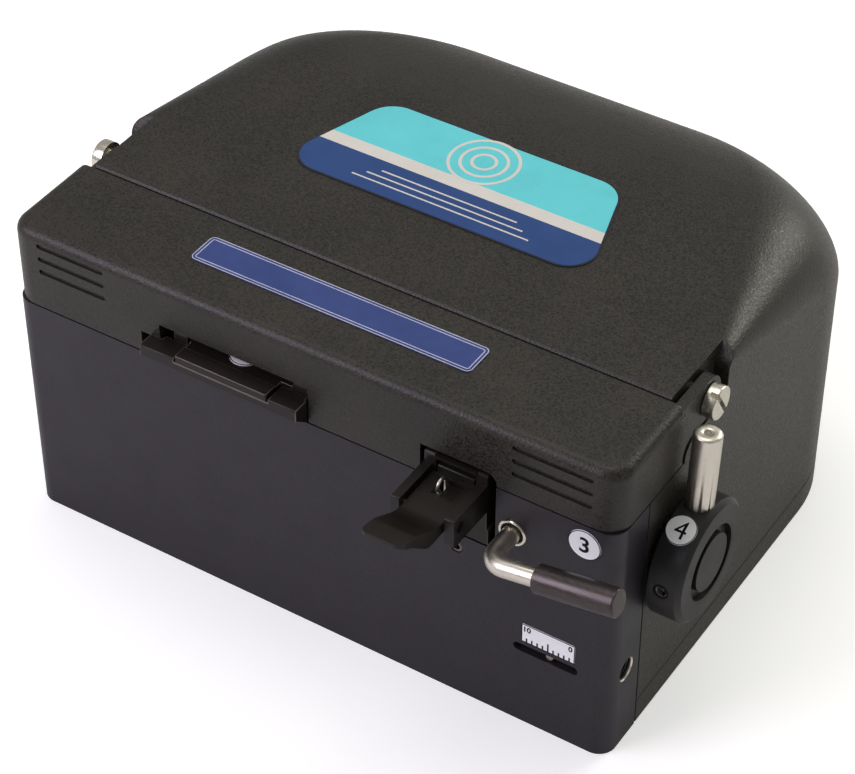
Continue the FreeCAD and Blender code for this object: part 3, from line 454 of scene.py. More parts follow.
# the same ink as painted shade in the hole mouths of clamp and knob
CLAMP_HOLE_SHADE = Stock(INK_AND_SHADE, "clamp_black")
KNOB_HOLE_SHADE = Stock(INK_AND_SHADE, "knob_black")
SOFT_BLACK = Stock(Moulded("rubber", (0.016, 0.016, 0.016), 0.8, 0.3 * MM, 0.02 * MM, 0.2, 1.1, 0.3), "rubber")
ALUMINIUM = SatinMetal(
    "bare_aluminium", (0.5, 0.5, 0.51), 0.38, 1.0, (0.2, 1.0, 1.0), 0.25 * MM, 0.0015 * MM, 0.08
)
BARE = Stock(ALUMINIUM, "bare_aluminium")
BOARD = Stock(Moulded("circuit_board", (0.02, 0.12, 0.05), 0.4, 0.6 * MM, 0.01 * MM, 0.25), "circuit_green")
CERAMIC = Stock(Moulded("ceramic", (0.62, 0.6, 0.54), 0.3, 0.8 * MM, 0.002 * MM, 0.05), "ceramic")
CELL_WRAP = Stock(Moulded("battery_wrap", (0.03, 0.1, 0.28), 0.35, 1.2 * MM, 0.004 * MM, 0.1), "rubber")


# ---- helpers
WELD = 0.002 * MM
FINE_WELD = 0.0005 * MM
PRINT_WELD = 1e-5
NEARLY_FLAT = math.radians(0.6)
SHARP = math.radians(28.0)
SMOOTH = 35.0
WIRE_SMOOTH = 60.0
COIL_STEPS = 24
FILM = 0.02 * MM


def linked(name: str, data: bpy.types.ID) -> bpy.types.Object:
    """A new object in the scene."""
    made = bpy.data.objects.new(name, data)
    bpy.context.scene.collection.objects.link(made)
    return made


def mesh_from(bm: Shape, name: str, smooth: float = SMOOTH) -> bpy.types.Mesh:
    """Turn a shape into a mesh, smooth except across sharp edges.

    Args:
        bm: The shape; it is freed.
        name: The mesh's name.
        smooth: Edges sharper than this many degrees stay sharp.

    Returns:
        The new mesh.
    """
    for face in bm.faces:
        face.smooth = True
    mesh = bpy.data.meshes.new(name)
    bm.to_mesh(mesh)
    bm.free()
    mesh.set_sharp_from_angle(angle=math.radians(smooth))
    return mesh


def add_piece(name: str, bm: Shape, stock: Stock, body: Body, smooth: float = SMOOTH) -> bpy.types.Object:
    """Link a finished shape as a piece that rides on a body.

    Args:
        name: The piece's name.
        bm: Its shape, already in place; it is freed.
        stock: Its finish and the record's slot.
        body: The body it moves with.
        smooth: Edges sharper than this many degrees stay sharp.

    Returns:
        The new object.
    """
    piece = linked(name, mesh_from(bm, name, smooth))
    piece.data.materials.append(material_of(stock.finish))
    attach(piece, body.value)
    LOG.info("piece %s: %d faces", name, len(piece.data.polygons))
    return piece


def copy_of(node: str, flatten: bool = True) -> Shape:
    """A merged copy of a CAD node's mesh.

    Args:
        node: The CAD node.
        flatten: Whether its flat faces are joined.

    Returns:
        The copy.
    """
    bm = bmesh.new()
    bm.from_mesh(frame["nodes"][node].data)
    bmesh.ops.remove_doubles(bm, verts=bm.verts, dist=WELD)
    if flatten:
        bmesh.ops.dissolve_limit(bm, angle_limit=NEARLY_FLAT, verts=bm.verts, edges=bm.edges)
    return bm


def ease_edges(bm: Shape, width: float) -> None:
    """Round every sharp edge and mark the new faces for wear and a painted edge highlight.

    Args:
        bm: The shape to change.
        width: Width of the rounding in metres.
    """
    worn_and_lit = bm.faces.layers.float.new("worn_and_lit")
    edges = [e for e in bm.edges if len(e.link_faces) == 2 and e.calc_face_angle(0.0) > SHARP]
    made = bmesh.ops.bevel(
        bm, geom=edges, offset=width, affect="EDGES", segments=2, profile=0.5, material=-1,
        clamp_overlap=True, loop_slide=True,
    )
    for face in made["faces"]:
        face[worn_and_lit] = 1.0


def stand_in(bm: Shape, node: str, stock: Stock) -> None:
    """Show a shape in the place of a CAD node.

    Args:
        bm: The shape; it is freed.
        node: The CAD node that it replaces.
        stock: Its finish and slot.
    """
    body = Body(frame["nodes"][node].parent.name.removeprefix("body:"))
    piece = add_piece(node + "_eased", bm, stock, body)
    piece.modifiers.new("weighted", "WEIGHTED_NORMAL").keep_sharp = True
    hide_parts(node)


def soften(stock: Stock, width: float, *nodes: str) -> None:
    """Stand copies of CAD nodes in their place.

    Args:
        stock: Their finish and slot.
        width: Width of the eased edges in metres; 0 keeps the shapes as they are.
        nodes: The CAD nodes.
    """
    for node in nodes:
        bm = copy_of(node, width > 0)
        if width:
            ease_edges(bm, width)
        stand_in(bm, node, stock)


def dress(stock: Stock, *nodes: str) -> None:
    """Give CAD nodes that stay as they are a finish.

    Args:
        stock: Their finish and slot.
        nodes: The CAD nodes.
    """
    for node in nodes:
        obj = frame["nodes"][node]
        obj.data.materials.clear()
        obj.data.materials.append(material_of(stock.finish))


def centre_of(node: str) -> Vector:
    """Middle of a node's box."""
    low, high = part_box(node)
    return (Vector(low) + Vector(high)) / 2


def size_of(node: str) -> Vector:
    """Size of a node's box."""
    low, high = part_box(node)
    return Vector(high) - Vector(low)


def spoke(hub: str, node: str) -> tuple[Vector, Vector]:
    """How a node lies about a hub that turns along X.

    Args:
        hub: The CAD node in the middle.
        node: The CAD node beside it.

    Returns:
        The point on the hub's axis level with the node, and the direction out.
    """
    axis, part = centre_of(hub), centre_of(node)
    start = Vector((part.x, axis.y, axis.z))
    return start, (part - start).normalized()


def face_copy(node: str) -> Shape:
    """The flat top faces of a CAD node, as an open sheet."""
    bm = copy_of(node)
    bmesh.ops.delete(bm, geom=[f for f in bm.faces if f.normal.dot(UP) < 0.99], context="FACES")
    return bm


def thicken(bm: Shape, thickness: float) -> None:
    """Turn an open flat sheet into a closed thin plate that stands up from it.

    Args:
        bm: The sheet to change.
        thickness: Height of the plate in metres.
    """
    made = bmesh.ops.extrude_face_region(bm, geom=list(bm.faces))
    moved = [g for g in made["geom"] if isinstance(g, bmesh.types.BMVert)]
    bmesh.ops.translate(bm, verts=moved, vec=UP * thickness)
    bmesh.ops.recalc_face_normals(bm, faces=bm.faces)


def border(bm: Shape, width: float) -> list[bmesh.types.BMFace]:
    """Mark off a border inside an open sheet's outline.

    Args:
        bm: The sheet to change.
        width: Width of the border in metres.

    Returns:
        The border's faces.
    """
    faces = list(bm.faces)
    made = bmesh.ops.inset_region(bm, faces=faces, thickness=width, use_even_offset=True, use_boundary=True)
    return made["faces"]


def cut_away(bm: Shape, point: Vector, outward: Vector) -> list[bmesh.types.BMEdge]:
    """Cut a shape at a plane.

    Args:
        bm: The shape to change.
        point: A point on the plane.
        outward: Direction of the side that goes.

    Returns:
        The edges of the cut.
    """
    geom = [*bm.verts, *bm.edges, *bm.faces]
    made = bmesh.ops.bisect_plane(bm, geom=geom, plane_co=point, plane_no=outward, clear_outer=True)
    return [g for g in made["geom_cut"] if isinstance(g, bmesh.types.BMEdge)]


def stand_along(bm: Shape, centre: Vector, axis: Vector) -> None:
    """Move a shape's origin to a centre and turn its Z along an axis."""
    place = Matrix.Translation(centre) @ axis.to_track_quat("Z", "Y").to_matrix().to_4x4()
    bmesh.ops.transform(bm, matrix=place, verts=bm.verts)


def ring(inner: float, outer: float, start: float, stop: float) -> Profile:
    """Profile of a plain ring between two radii and two heights."""
    return [(inner, start), (outer, start), (outer, stop), (inner, stop)]


def turned(profile: Profile, centre: Vector, axis: Vector, steps: int = 64) -> Shape:
    """A body of revolution from a closed profile of (radius, height) points.

    Args:
        profile: Corners in metres, radius zero or more.
        centre: Where the axis has height zero.
        axis: Unit direction of the axis.
        steps: Faces round the turn.

    Returns:
        The closed ring or disc.
    """
    bm = bmesh.new()
    corners = [bm.verts.new((radius, 0.0, height)) for radius, height in profile]
    edges = [bm.edges.new((a, b)) for a, b in zip(corners, corners[1:] + corners[:1])]
    geom = corners + edges
    bmesh.ops.spin(bm, geom=geom, cent=ORIGIN, axis=UP, angle=math.tau, steps=steps, use_merge=True)
    bmesh.ops.remove_doubles(bm, verts=bm.verts, dist=FINE_WELD)
    bmesh.ops.recalc_face_normals(bm, faces=bm.faces)
    stand_along(bm, centre, axis)
    return bm


def coil(
    wire: float, radius: float, pitch: float, turns: float, start: Vector, axis: Vector, sides: int = 8
) -> Shape:
    """A helical wire about an axis.

    Args:
        wire: Radius of the wire in metres.
        radius: Radius of the helix.
        pitch: Rise in one turn.
        turns: Number of turns.
        start: Where the helix starts, on its axis.
        axis: Unit direction that it rises in.
        sides: Faces round the wire.

    Returns:
        The closed coil.
    """
    bm = bmesh.new()
    tilt = Matrix.Translation((radius, 0, 0)) @ Matrix.Rotation(math.radians(90), 4, "X")
    bmesh.ops.create_circle(bm, segments=sides, radius=wire, cap_ends=False, matrix=tilt)
    steps = int(COIL_STEPS * turns)
    rise = UP * (pitch * turns / steps)
    geom = [*bm.verts, *bm.edges]
    angle = math.tau * turns
    bmesh.ops.spin(bm, geom=geom, cent=ORIGIN, axis=UP, dvec=rise, angle=angle, steps=steps, use_merge=False)
    bmesh.ops.holes_fill(bm, edges=[e for e in bm.edges if e.is_boundary], sides=0)
    bmesh.ops.recalc_face_normals(bm, faces=bm.faces)
    stand_along(bm, start, axis)
    return bm


def numeral(text: str, height: float, place: Matrix, weight: float = 0.018) -> Shape:
    """Raised print of a few digits, centred and set in place.

    Args:
        text: The digits.
        height: Height of the digits in metres.
        place: Turns the print's own axes, right, up and out, into the object's.
        weight: How much fatter the strokes are, as a share of the type size.

    Returns:
        The print.
    """
    curve = bpy.data.curves.new("numeral", "FONT")
    curve.body = text
    curve.offset = weight
    curve.resolution_u = 6
    holder = linked("numeral", curve)
    flat = bpy.data.meshes.new_from_object(holder.evaluated_get(bpy.context.evaluated_depsgraph_get()))
    bpy.data.objects.remove(holder)
    bpy.data.curves.remove(curve)
    bm = bmesh.new()
    bm.from_mesh(flat)
    bpy.data.meshes.remove(flat)
    bmesh.ops.remove_doubles(bm, verts=bm.verts, dist=PRINT_WELD)
    across, along = zip(*(v.co.xy for v in bm.verts))
    low, high = Vector((min(across), min(along), 0)), Vector((max(across), max(along), 0))
    bmesh.ops.translate(bm, verts=bm.verts, vec=-(low + high) / 2)
    scale = height / (high.y - low.y)
    bmesh.ops.scale(bm, verts=bm.verts, vec=(scale, scale, 1.0))
    thicken(bm, FILM)
    bmesh.ops.transform(bm, matrix=place, verts=bm.verts)
    return bm


def facing(centre: Vector, right: Vector, up: Vector) -> Matrix:
    """A place whose print reads along right, with its top along up."""
    turn = Matrix((right, up, right.cross(up))).transposed().to_4x4()
    return Matrix.Translation(centre) @ turn


def plate(low: Sequence[float], high: Sequence[float]) -> Shape:
    """A block between two corners.

    Args:
        low: Its lowest corner.
        high: Its highest corner.

    Returns:
        The block.
    """
    bm = bmesh.new()
    size = Vector(high) - Vector(low)
    place = Matrix.Translation((Vector(low) + Vector(high)) / 2) @ Matrix.Diagonal((*size, 1.0))
    bmesh.ops.create_cube(bm, size=1.0, matrix=place)
    return bm


def joined(pieces: Sequence[Shape]) -> Shape:
    """One shape out of several.

    Args:
        pieces: The shapes; all but the first are freed.

    Returns:
        The first shape, with the others in it.
    """
    whole = pieces[0]
    for piece in pieces[1:]:
        spare = bpy.data.meshes.new("spare")
        piece.to_mesh(spare)
        piece.free()
        whole.from_mesh(spare)
        bpy.data.meshes.remove(spare)
    return whole


def wrap(bm: Shape, middle: Vector, out: Vector, radius: float) -> None:
    """Bend a flat print round a rim whose axis runs along X.

    Args:
        bm: The print, flat about the origin and facing +Z; it is changed.
        middle: Point on the rim's axis below the print.
        out: Unit direction from the axis to the print's middle.
        radius: Radius that the print's underside gets.
    """
    up = out.cross(RIGHT)
    for vert in bm.verts:
        angle = vert.co.y / radius
        radial = out * math.cos(angle) + up * math.sin(angle)
        vert.co = middle + RIGHT * vert.co.x + radial * (radius + vert.co.z)
    bmesh.ops.recalc_face_normals(bm, faces=bm.faces)


# ---- studio
@dataclass
class Studio:
    """Floor, soft lights, surroundings and the camera."""

    lens: float = 117.2
    azimuth: float = 32.51
    elevation: float = 41.14
    camera_at: Vector = field(default_factory=lambda: Vector((184.22, -298.18, 323.09)) * MM)
    aim: Vector = field(default_factory=lambda: Vector((0, 0, 0.03)))
    floor_half: float = 6.0
    floor_tone: float = 0.86
    floor_glow: float = 0.42
    dark_side: Sizes = (0.86, -0.5, 0.0)
    fade: Sizes = (-0.1, 0.9, 0.39, 0.17)

    def floor(self) -> None:
        """A plain pale floor that keeps the object's shadow."""
        bm = bmesh.new()
        bmesh.ops.create_grid(bm, x_segments=1, y_segments=1, size=self.floor_half)
        floor = linked("floor", mesh_from(bm, "floor"))
        shader = Shader("floor_paper")
        shader.set(base_color=(self.floor_tone, self.floor_tone, self.floor_tone, 1.0), roughness=0.9)
        seen = shader.tree.nodes.new("ShaderNodeLightPath").outputs["Is Camera Ray"]
        shader.set(emission_color=(1, 1, 1, 1))
        shader.link(shader.math("MULTIPLY", seen, self.floor_glow), shader.surface.inputs["Emission Strength"])
        floor.data.materials.append(shader.material)

    def surroundings(self) -> None:
        """White to the camera alone, and dim as a light, more so to the front right."""
        world = bpy.data.worlds.new("surroundings")
        world.use_nodes = True
        tree = world.node_tree
        tree.nodes.clear()
        out = tree.nodes.new("ShaderNodeOutputWorld")
        sky = tree.nodes.new("ShaderNodeBackground")
        sky.inputs["Color"].default_value = (1, 1, 1, 1)
        coords = tree.nodes.new("ShaderNodeTexCoord")
        toward = tree.nodes.new("ShaderNodeVectorMath")
        toward.operation = "DOT_PRODUCT"
        toward.inputs[1].default_value = self.dark_side
        tree.links.new(coords.outputs["Generated"], toward.inputs[0])
        fade = mapped(tree, toward.outputs["Value"], *self.fade)
        seen = tree.nodes.new("ShaderNodeLightPath").outputs["Is Camera Ray"]
        level = mapped(tree, seen, 0, 1, 0, 1)
        tree.links.new(fade, level.node.inputs["To Min"])
        tree.links.new(level, sky.inputs["Strength"])
        tree.links.new(sky.outputs[0], out.inputs["Surface"])
        bpy.context.scene.world = world

    def lamp(self, name: str, at: Sizes, size: float, power: float, colour: Colour = (1, 1, 1)) -> None:
        """One square soft light aimed at the object.

        Args:
            name: The light's name.
            at: Its place in metres.
            size: Its side in metres.
            power: Its power in watts.
            colour: Its colour.
        """
        data = bpy.data.lights.new(name, "AREA")
        data.shape = "SQUARE"
        data.size = size
        data.energy = power
        data.color = colour
        light = linked(name, data)
        light.location = at
        light.rotation_mode = "QUATERNION"
        light.rotation_quaternion = (self.aim - Vector(at)).to_track_quat("-Z", "Y")

    def camera(self) -> None:
        """The camera, from the front right and above."""
        a, e = math.radians(self.azimuth), math.radians(self.elevation)
        back = Vector((math.sin(a) * math.cos(e), -math.cos(a) * math.cos(e), math.sin(e)))
        data = bpy.data.cameras.new("camera")
        data.lens = self.lens
        data.clip_start = 0.01
        data.clip_end = 30.0
        camera = linked("camera", data)
        camera.location = self.camera_at
        camera.rotation_mode = "QUATERNION"
        camera.rotation_quaternion = (-back).to_track_quat("-Z", "Y")
        bpy.context.scene.camera = camera

    def build(self) -> None:
        """Set up the whole studio."""
        bpy.context.scene.view_settings.view_transform = "Standard"
        self.camera()
        self.floor()
        self.surroundings()
        self.lamp("key", (-0.24, -0.34, 0.30), 0.28, 1.10, (1.0, 0.91, 1.10))
        self.lamp("side", (0.75, -0.15, 0.35), 0.40, 0.25)
        self.lamp("rear", (0.25, 0.75, 0.45), 0.40, 3.0, (1.0, 0.98, 0.88))
        self.lamp("above", (-0.10, 0.10, 0.80), 0.50, 1.6, (1.0, 0.97, 0.88))
        LOG.info("studio ready")


# ---- sub-assemblies
@dataclass
class Covers:
    """Base, front frame, rear housing and lid."""

    paint_edge: float = 0.14 * MM
    frame_edge: float = 0.22 * MM
    service_edge: float = 0.1 * MM
    spans: Profile = (mm(5.9, 18.6), mm(92.1, 105.3))
    drops: Sizes = mm(2.35, 4.85, 7.35)
    half: float = 0.41 * MM
    depth: Sizes = mm(0.38, 1.4)

    def build(self) -> None:
        """Dress the covers."""
        soften(PAINTED, self.paint_edge, "rear_housing", "base_plate")
        soften(ANODISED, self.frame_edge, "front_frame")
        soften(PAINTED, self.paint_edge, "lid")
        soften(PAINTED, self.service_edge, "service_cover")
        self.dust_screens()

    def dust_screens(self) -> None:
        """Painted strips just behind the vent slots."""
        (left, face, _), (_, _, top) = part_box("lid")
        near, far = self.depth
        bars = []
        for start, stop in self.spans:
            for drop in self.drops:
                low = (left + start, face + near, top - drop - self.half)
                high = (left + stop, face + far, top - drop + self.half)
                bars.append(plate(low, high))
        add_piece("vent_screens", joined(bars), PAINTED, Body.LID)


@dataclass
class Labels:
    """The printed plate on the top and the strip on the lid."""

    rim: float = 0.30 * MM
    pale_from: float = 0.36
    cyan_from: float = 0.48
    edge_line: Sizes = mm(0.02, 0.15)
    inner_line: Sizes = mm(0.55, 0.16)
    rule_depth: float = 0.12
    rule_pitch: float = 0.065
    rule_half: float = 0.30
    rule_shorter: float = 0.035
    rule_width: float = 0.30 * MM
    ring_depth: float = 0.73
    ring_inner: float = 1.7 * MM
    ring_pitch: float = 1.9 * MM
    ring_width: float = 0.55 * MM

    def band(self, low: float, high: float) -> Shape:
        """A film on the top label between two shares of its depth.

        Args:
            low: Where the band starts, as a share from front to back.
            high: Where it ends.

        Returns:
            The film.
        """
        bm = face_copy("top_label")
        bmesh.ops.delete(bm, geom=border(bm, self.rim), context="FACES")
        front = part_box("top_label")[0][1] + self.rim
        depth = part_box("top_label")[1][1] - self.rim - front
        for share, side in ((low, -1.0), (high, 1.0)):
            if 0.0 < share < 1.0:
                cut_away(bm, Vector((0, front + share * depth, 0)), BACK * side)
        thicken(bm, FILM)
        return bm

    def build(self) -> None:
        """Print both labels."""
        dress(LABEL_EDGE, "top_label")
        dress(STRIP_BLUE, "lid_strip")
        add_piece("label_lower", self.band(0.0, self.pale_from), LABEL_BLUE, Body.BODY)
        add_piece("label_stripe", self.band(self.pale_from, self.cyan_from), LABEL_PALE, Body.BODY)
        add_piece("label_upper", self.band(self.cyan_from, 1.0), LABEL_CYAN, Body.BODY)
        self.pattern()
        self.keyline("strip_edge_line", *self.edge_line)
        self.keyline("strip_inner_line", *self.inner_line)

    def pattern(self) -> None:
        """Three fine rules in the blue field and three rings in the cyan one."""
        low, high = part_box("top_label")
        width, depth = high[0] - low[0], high[1] - low[1]
        middle, top = (low[0] + high[0]) / 2, high[2] + FILM
        rules, rings = [], []
        for index in range(3):
            y = low[1] + depth * (self.rule_depth + self.rule_pitch * index)
            half = (self.rule_half - self.rule_shorter * index) * width
            rules.append(plate((middle - half, y, top), (middle + half, y + self.rule_width, top + FILM)))
            inner = self.ring_inner + self.ring_pitch * index
            seat = Vector((middle, low[1] + depth * self.ring_depth, top))
            rings.append(turned(ring(inner, inner + self.ring_width, 0.0, FILM), seat, UP))
        add_piece("label_rules", joined(rules), LABEL_PALE, Body.BODY)
        add_piece("label_rings", joined(rings), LABEL_PALE, Body.BODY)

    def keyline(self, name: str, inset: float, width: float) -> None:
        """A pale line along the strip's edge.

        Args:
            name: The piece's name.
            inset: Distance from the strip's outline.
            width: Width of the line.
        """
        bm = face_copy("lid_strip")
        bmesh.ops.delete(bm, geom=border(bm, inset), context="FACES")
        line = border(bm, width)
        bmesh.ops.delete(bm, geom=[f for f in bm.faces if f not in line], context="FACES")
        thicken(bm, FILM)
        add_piece(name, bm, STRIP_LINE, Body.LID)


@dataclass
class StepDiscs:
    """The three numbered discs and the tension scale."""

    print_height: float = 2.9 * MM
    ring_width: float = 0.14 * MM
    rim_lift: float = 0.15 * MM
    rim_ring: Sizes = mm(2.28, 2.4, 0, 0.02)
    longest: float = 0.4 * MM
    tick_pitch: float = 0.93 * MM
    tick_half: float = 0.13 * MM
    tick_rise: float = 0.9 * MM
    middle_rise: float = 1.75 * MM
    ends: tuple[tuple[str, float], ...] = (("10", 1.05 * MM), ("0", -0.8 * MM))
    end_drop: float = 0.95 * MM
    end_height: float = 1.1 * MM
    end_weight: float = 0.03
    border: float = 0.16 * MM

    def disc(self, node: str, text: str, up: Vector, body: Body) -> None:
        """Number a flat disc and edge it with a dark line.

        Args:
            node: The disc's CAD node.
            text: Its numeral.
            up: Direction of the numeral's top.
            body: The body it moves with.
        """
        dress(PAPER, node)
        out = RIGHT.cross(up)
        half = size_of(node) / 2
        face = centre_of(node) + out * abs(half.dot(out))
        digits = numeral(text, self.print_height, facing(face, RIGHT, up))
        edge = turned(ring(half.x - self.ring_width, half.x, 0.0, FILM), face, out)
        add_piece(node + "_print", joined([digits, edge]), PRINT, body)

    def rim_disc(self) -> None:
        """Number the disc that is wrapped on the knob's rim."""
        dress(PAPER, "disc_4")
        middle, out = spoke("knob", "disc_4")
        digits = numeral("4", self.print_height, Matrix.Identity(4), 0.0)
        long_edges = [e for e in digits.edges if e.calc_length() > self.longest]
        bmesh.ops.subdivide_edges(digits, edges=long_edges, cuts=3)
        bmesh.ops.triangulate(digits, faces=digits.faces)
        whole = joined([digits, turned(ring(*self.rim_ring), ORIGIN, UP)])
        wrap(whole, middle, out, size_of("knob").z / 2 + self.rim_lift)
        add_piece("disc_4_print", whole, PRINT, Body.KNOB)

    def scale(self) -> None:
        """Nine rising ticks, the end numerals and the outline of the tension scale."""
        dress(PAPER, "scale_plate")
        (left, face, bottom), (right, _, top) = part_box("scale_plate")
        marks = []
        for step in range(-4, 5):
            x = (left + right) / 2 + step * self.tick_pitch
            rise = self.tick_rise if step else self.middle_rise
            low = (x - self.tick_half, face - FILM, bottom)
            marks.append(plate(low, (x + self.tick_half, face, bottom + rise)))
        for text, shift in self.ends:
            x = (left if shift > 0 else right) + shift
            place = facing(Vector((x, face, top - self.end_drop)), RIGHT, UP)
            marks.append(numeral(text, self.end_height, place, self.end_weight))
        for x0, x1, z0, z1 in (
            (left, right, bottom, bottom + self.border),
            (left, right, top - self.border, top),
            (left, left + self.border, bottom, top),
            (right - self.border, right, bottom, top),
        ):
            marks.append(plate((x0, face - FILM / 2, z0), (x1, face, z1)))
        add_piece("scale_print", joined(marks), PRINT, Body.BODY)

    def build(self) -> None:
        """Print the discs and the scale."""
        self.disc("disc_3", "3", UP, Body.BODY)
        self.disc("disc_1", "1", BACK, Body.LEFT_COVER)
        self.rim_disc()
        self.scale()


@dataclass
class Clamps:
    """Both fibre clamps, the tension carriage and its spring."""

    edge: float = 0.13 * MM
    pad_edge: float = 0.2 * MM
    spring_wire: float = 0.3 * MM
    spring_turns: float = 6.0
    tab_droop: float = 0.35 * MM
    tab_length: float = 4.5 * MM
    pocket_gap: float = 0.05 * MM
    pocket_low: Sizes = mm(-49.2, 43.3)
    pocket_high: Sizes = mm(29.85, -45.7, 44.4)
    # black ring and sunk disc that paint the shade of the pivot's countersunk mouth
    pivot: Profile = (mm(0.64, 0.98, 0, 0.015), mm(0, 0.62, -0.5, -0.2))
    screw_at: Sizes = mm(27.8, 31.2)
    screw: Profile = (
        mm(0.55, -0.15), mm(0.95, -0.15), mm(1.06, -0.3), mm(1.06, -2), mm(0, -2), mm(0, -1.2), mm(0.55, -1.2)
    )

    def build(self) -> None:
        """Dress the clamps."""
        soften(BLACKED, self.edge, "left_rest", "left_clamp_block", "left_cover", "carriage", "clamp_bracket")
        self.tongue()
        soften(SOFT_BLACK, self.pad_edge, "left_pad", "jaw_pad")
        soften(POLISHED, 0.0, "left_cover_pin", "tongue_pin", "guide_rod_low", "guide_rod_high")
        soften(SPRUNG, 0.0, "spring_hook")
        self.coil_spring()
        self.pocket_floor()
        self.pivot_end()
        self.frame_screw()

    def tongue(self) -> None:
        """The tongue, its tab drooping a little towards the tip."""
        bm = copy_of("tongue")
        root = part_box("tongue")[0][1] + self.tab_length
        for vert in [v for v in bm.verts if v.co.y < root]:
            reach = (root - vert.co.y) / self.tab_length
            vert.co.z -= self.tab_droop * reach * reach
        ease_edges(bm, self.edge)
        stand_in(bm, "tongue", BLACKED)

    def coil_spring(self) -> None:
        """A wound spring in the place of its plain tube."""
        size, wire = size_of("tension_spring"), self.spring_wire
        start = centre_of("tension_spring") - RIGHT * (size.x / 2 - wire)
        pitch = (size.x - 2 * wire) / self.spring_turns
        bm = coil(wire, size.z / 2 - wire, pitch, self.spring_turns, start, RIGHT, 10)
        piece = add_piece("tension_spring_coil", bm, SPRUNG, Body.CARRIAGE, WIRE_SMOOTH)
        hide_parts("tension_spring")

    def pocket_floor(self) -> None:
        """Floor of the pocket beside the hook in the tongue."""
        low = (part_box("spring_hook")[1][0] + self.pocket_gap, *self.pocket_low)
        add_piece("tongue_pocket_floor", plate(low, self.pocket_high), BLACKED, Body.TONGUE)

    def pivot_end(self) -> None:
        """Painted shade of the countersunk mouth of the tongue's pivot in the bracket's side: a black ring on
        the face and a black disc in the bore.
        """
        seat = centre_of("tongue_pin")
        seat.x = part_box("clamp_bracket")[1][0]
        parts = [turned(ring(*sizes), seat, RIGHT, 32) for sizes in self.pivot]
        add_piece("tongue_pivot_mouth_shade", joined(parts), CLAMP_HOLE_SHADE, Body.CARRIAGE)

    def frame_screw(self) -> None:
        """Socket set screw in the frame below the clamp."""
        seat = Vector((self.screw_at[0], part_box("front_frame")[0][1], self.screw_at[1]))
        add_piece("frame_set_screw", turned(self.screw, seat, -BACK, 36), THREADED, Body.BODY)


@dataclass
class LeverUnit:
    """The lever that moves the carriage."""

    shorter: float = 1.1 * MM
    free_end: float = 3.5 * MM
    flange: Profile = (mm(1.9, -0.06), mm(1.96, 0), mm(2.23, 0), mm(2.33, -0.1))
    bore: float = 1.54 * MM
    recess: Profile = (mm(1.54, -1.2), mm(1.9, -1.2))
    shade_ring: Sizes = mm(1.54, 1.9, -0.45, -1.15)

    def build(self) -> None:
        """Dress the lever."""
        self.shortened("lever_sleeve", SLEEVE)
        self.shortened("lever_rod", POLISHED)
        soften(POLISHED, 0.0, "lever_crank")
        self.bushing()

    def shortened(self, node: str, stock: Stock) -> None:
        """Show a lever part whose free end is drawn in along the arm.

        Args:
            node: The CAD node that it replaces.
            stock: Its finish and slot.
        """
        bm = copy_of(node, False)
        # the rise of the arm is the height of its box less its thickness
        size = size_of("lever_sleeve")
        arm = Vector((size.x, 0.0, size.z - size.y)).normalized()
        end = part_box("lever_sleeve")[1][0] - self.free_end
        for vert in [v for v in bm.verts if v.co.x > end]:
            vert.co -= arm * self.shorter
        stand_in(bm, node, stock)

    def bushing(self) -> None:
        """Bright flange round the lever's bore, with a black ring inside as painted shade in its recess."""
        front = centre_of("lever_bushing")
        front.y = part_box("lever_bushing")[0][1]
        length = size_of("lever_bushing").y
        back = [(self.flange[-1][0], -length), (self.bore, -length)]
        flange = [*self.flange, *back, *self.recess]
        stand_in(turned(flange, front, -BACK), "lever_bushing", RING_STEEL)
        # painted shade: a black ring sunk in the recess darkens it
        bm = turned(ring(*self.shade_ring), front, -BACK)
        add_piece("lever_bore_shade", bm, SOFT_BLACK, Body.BODY)


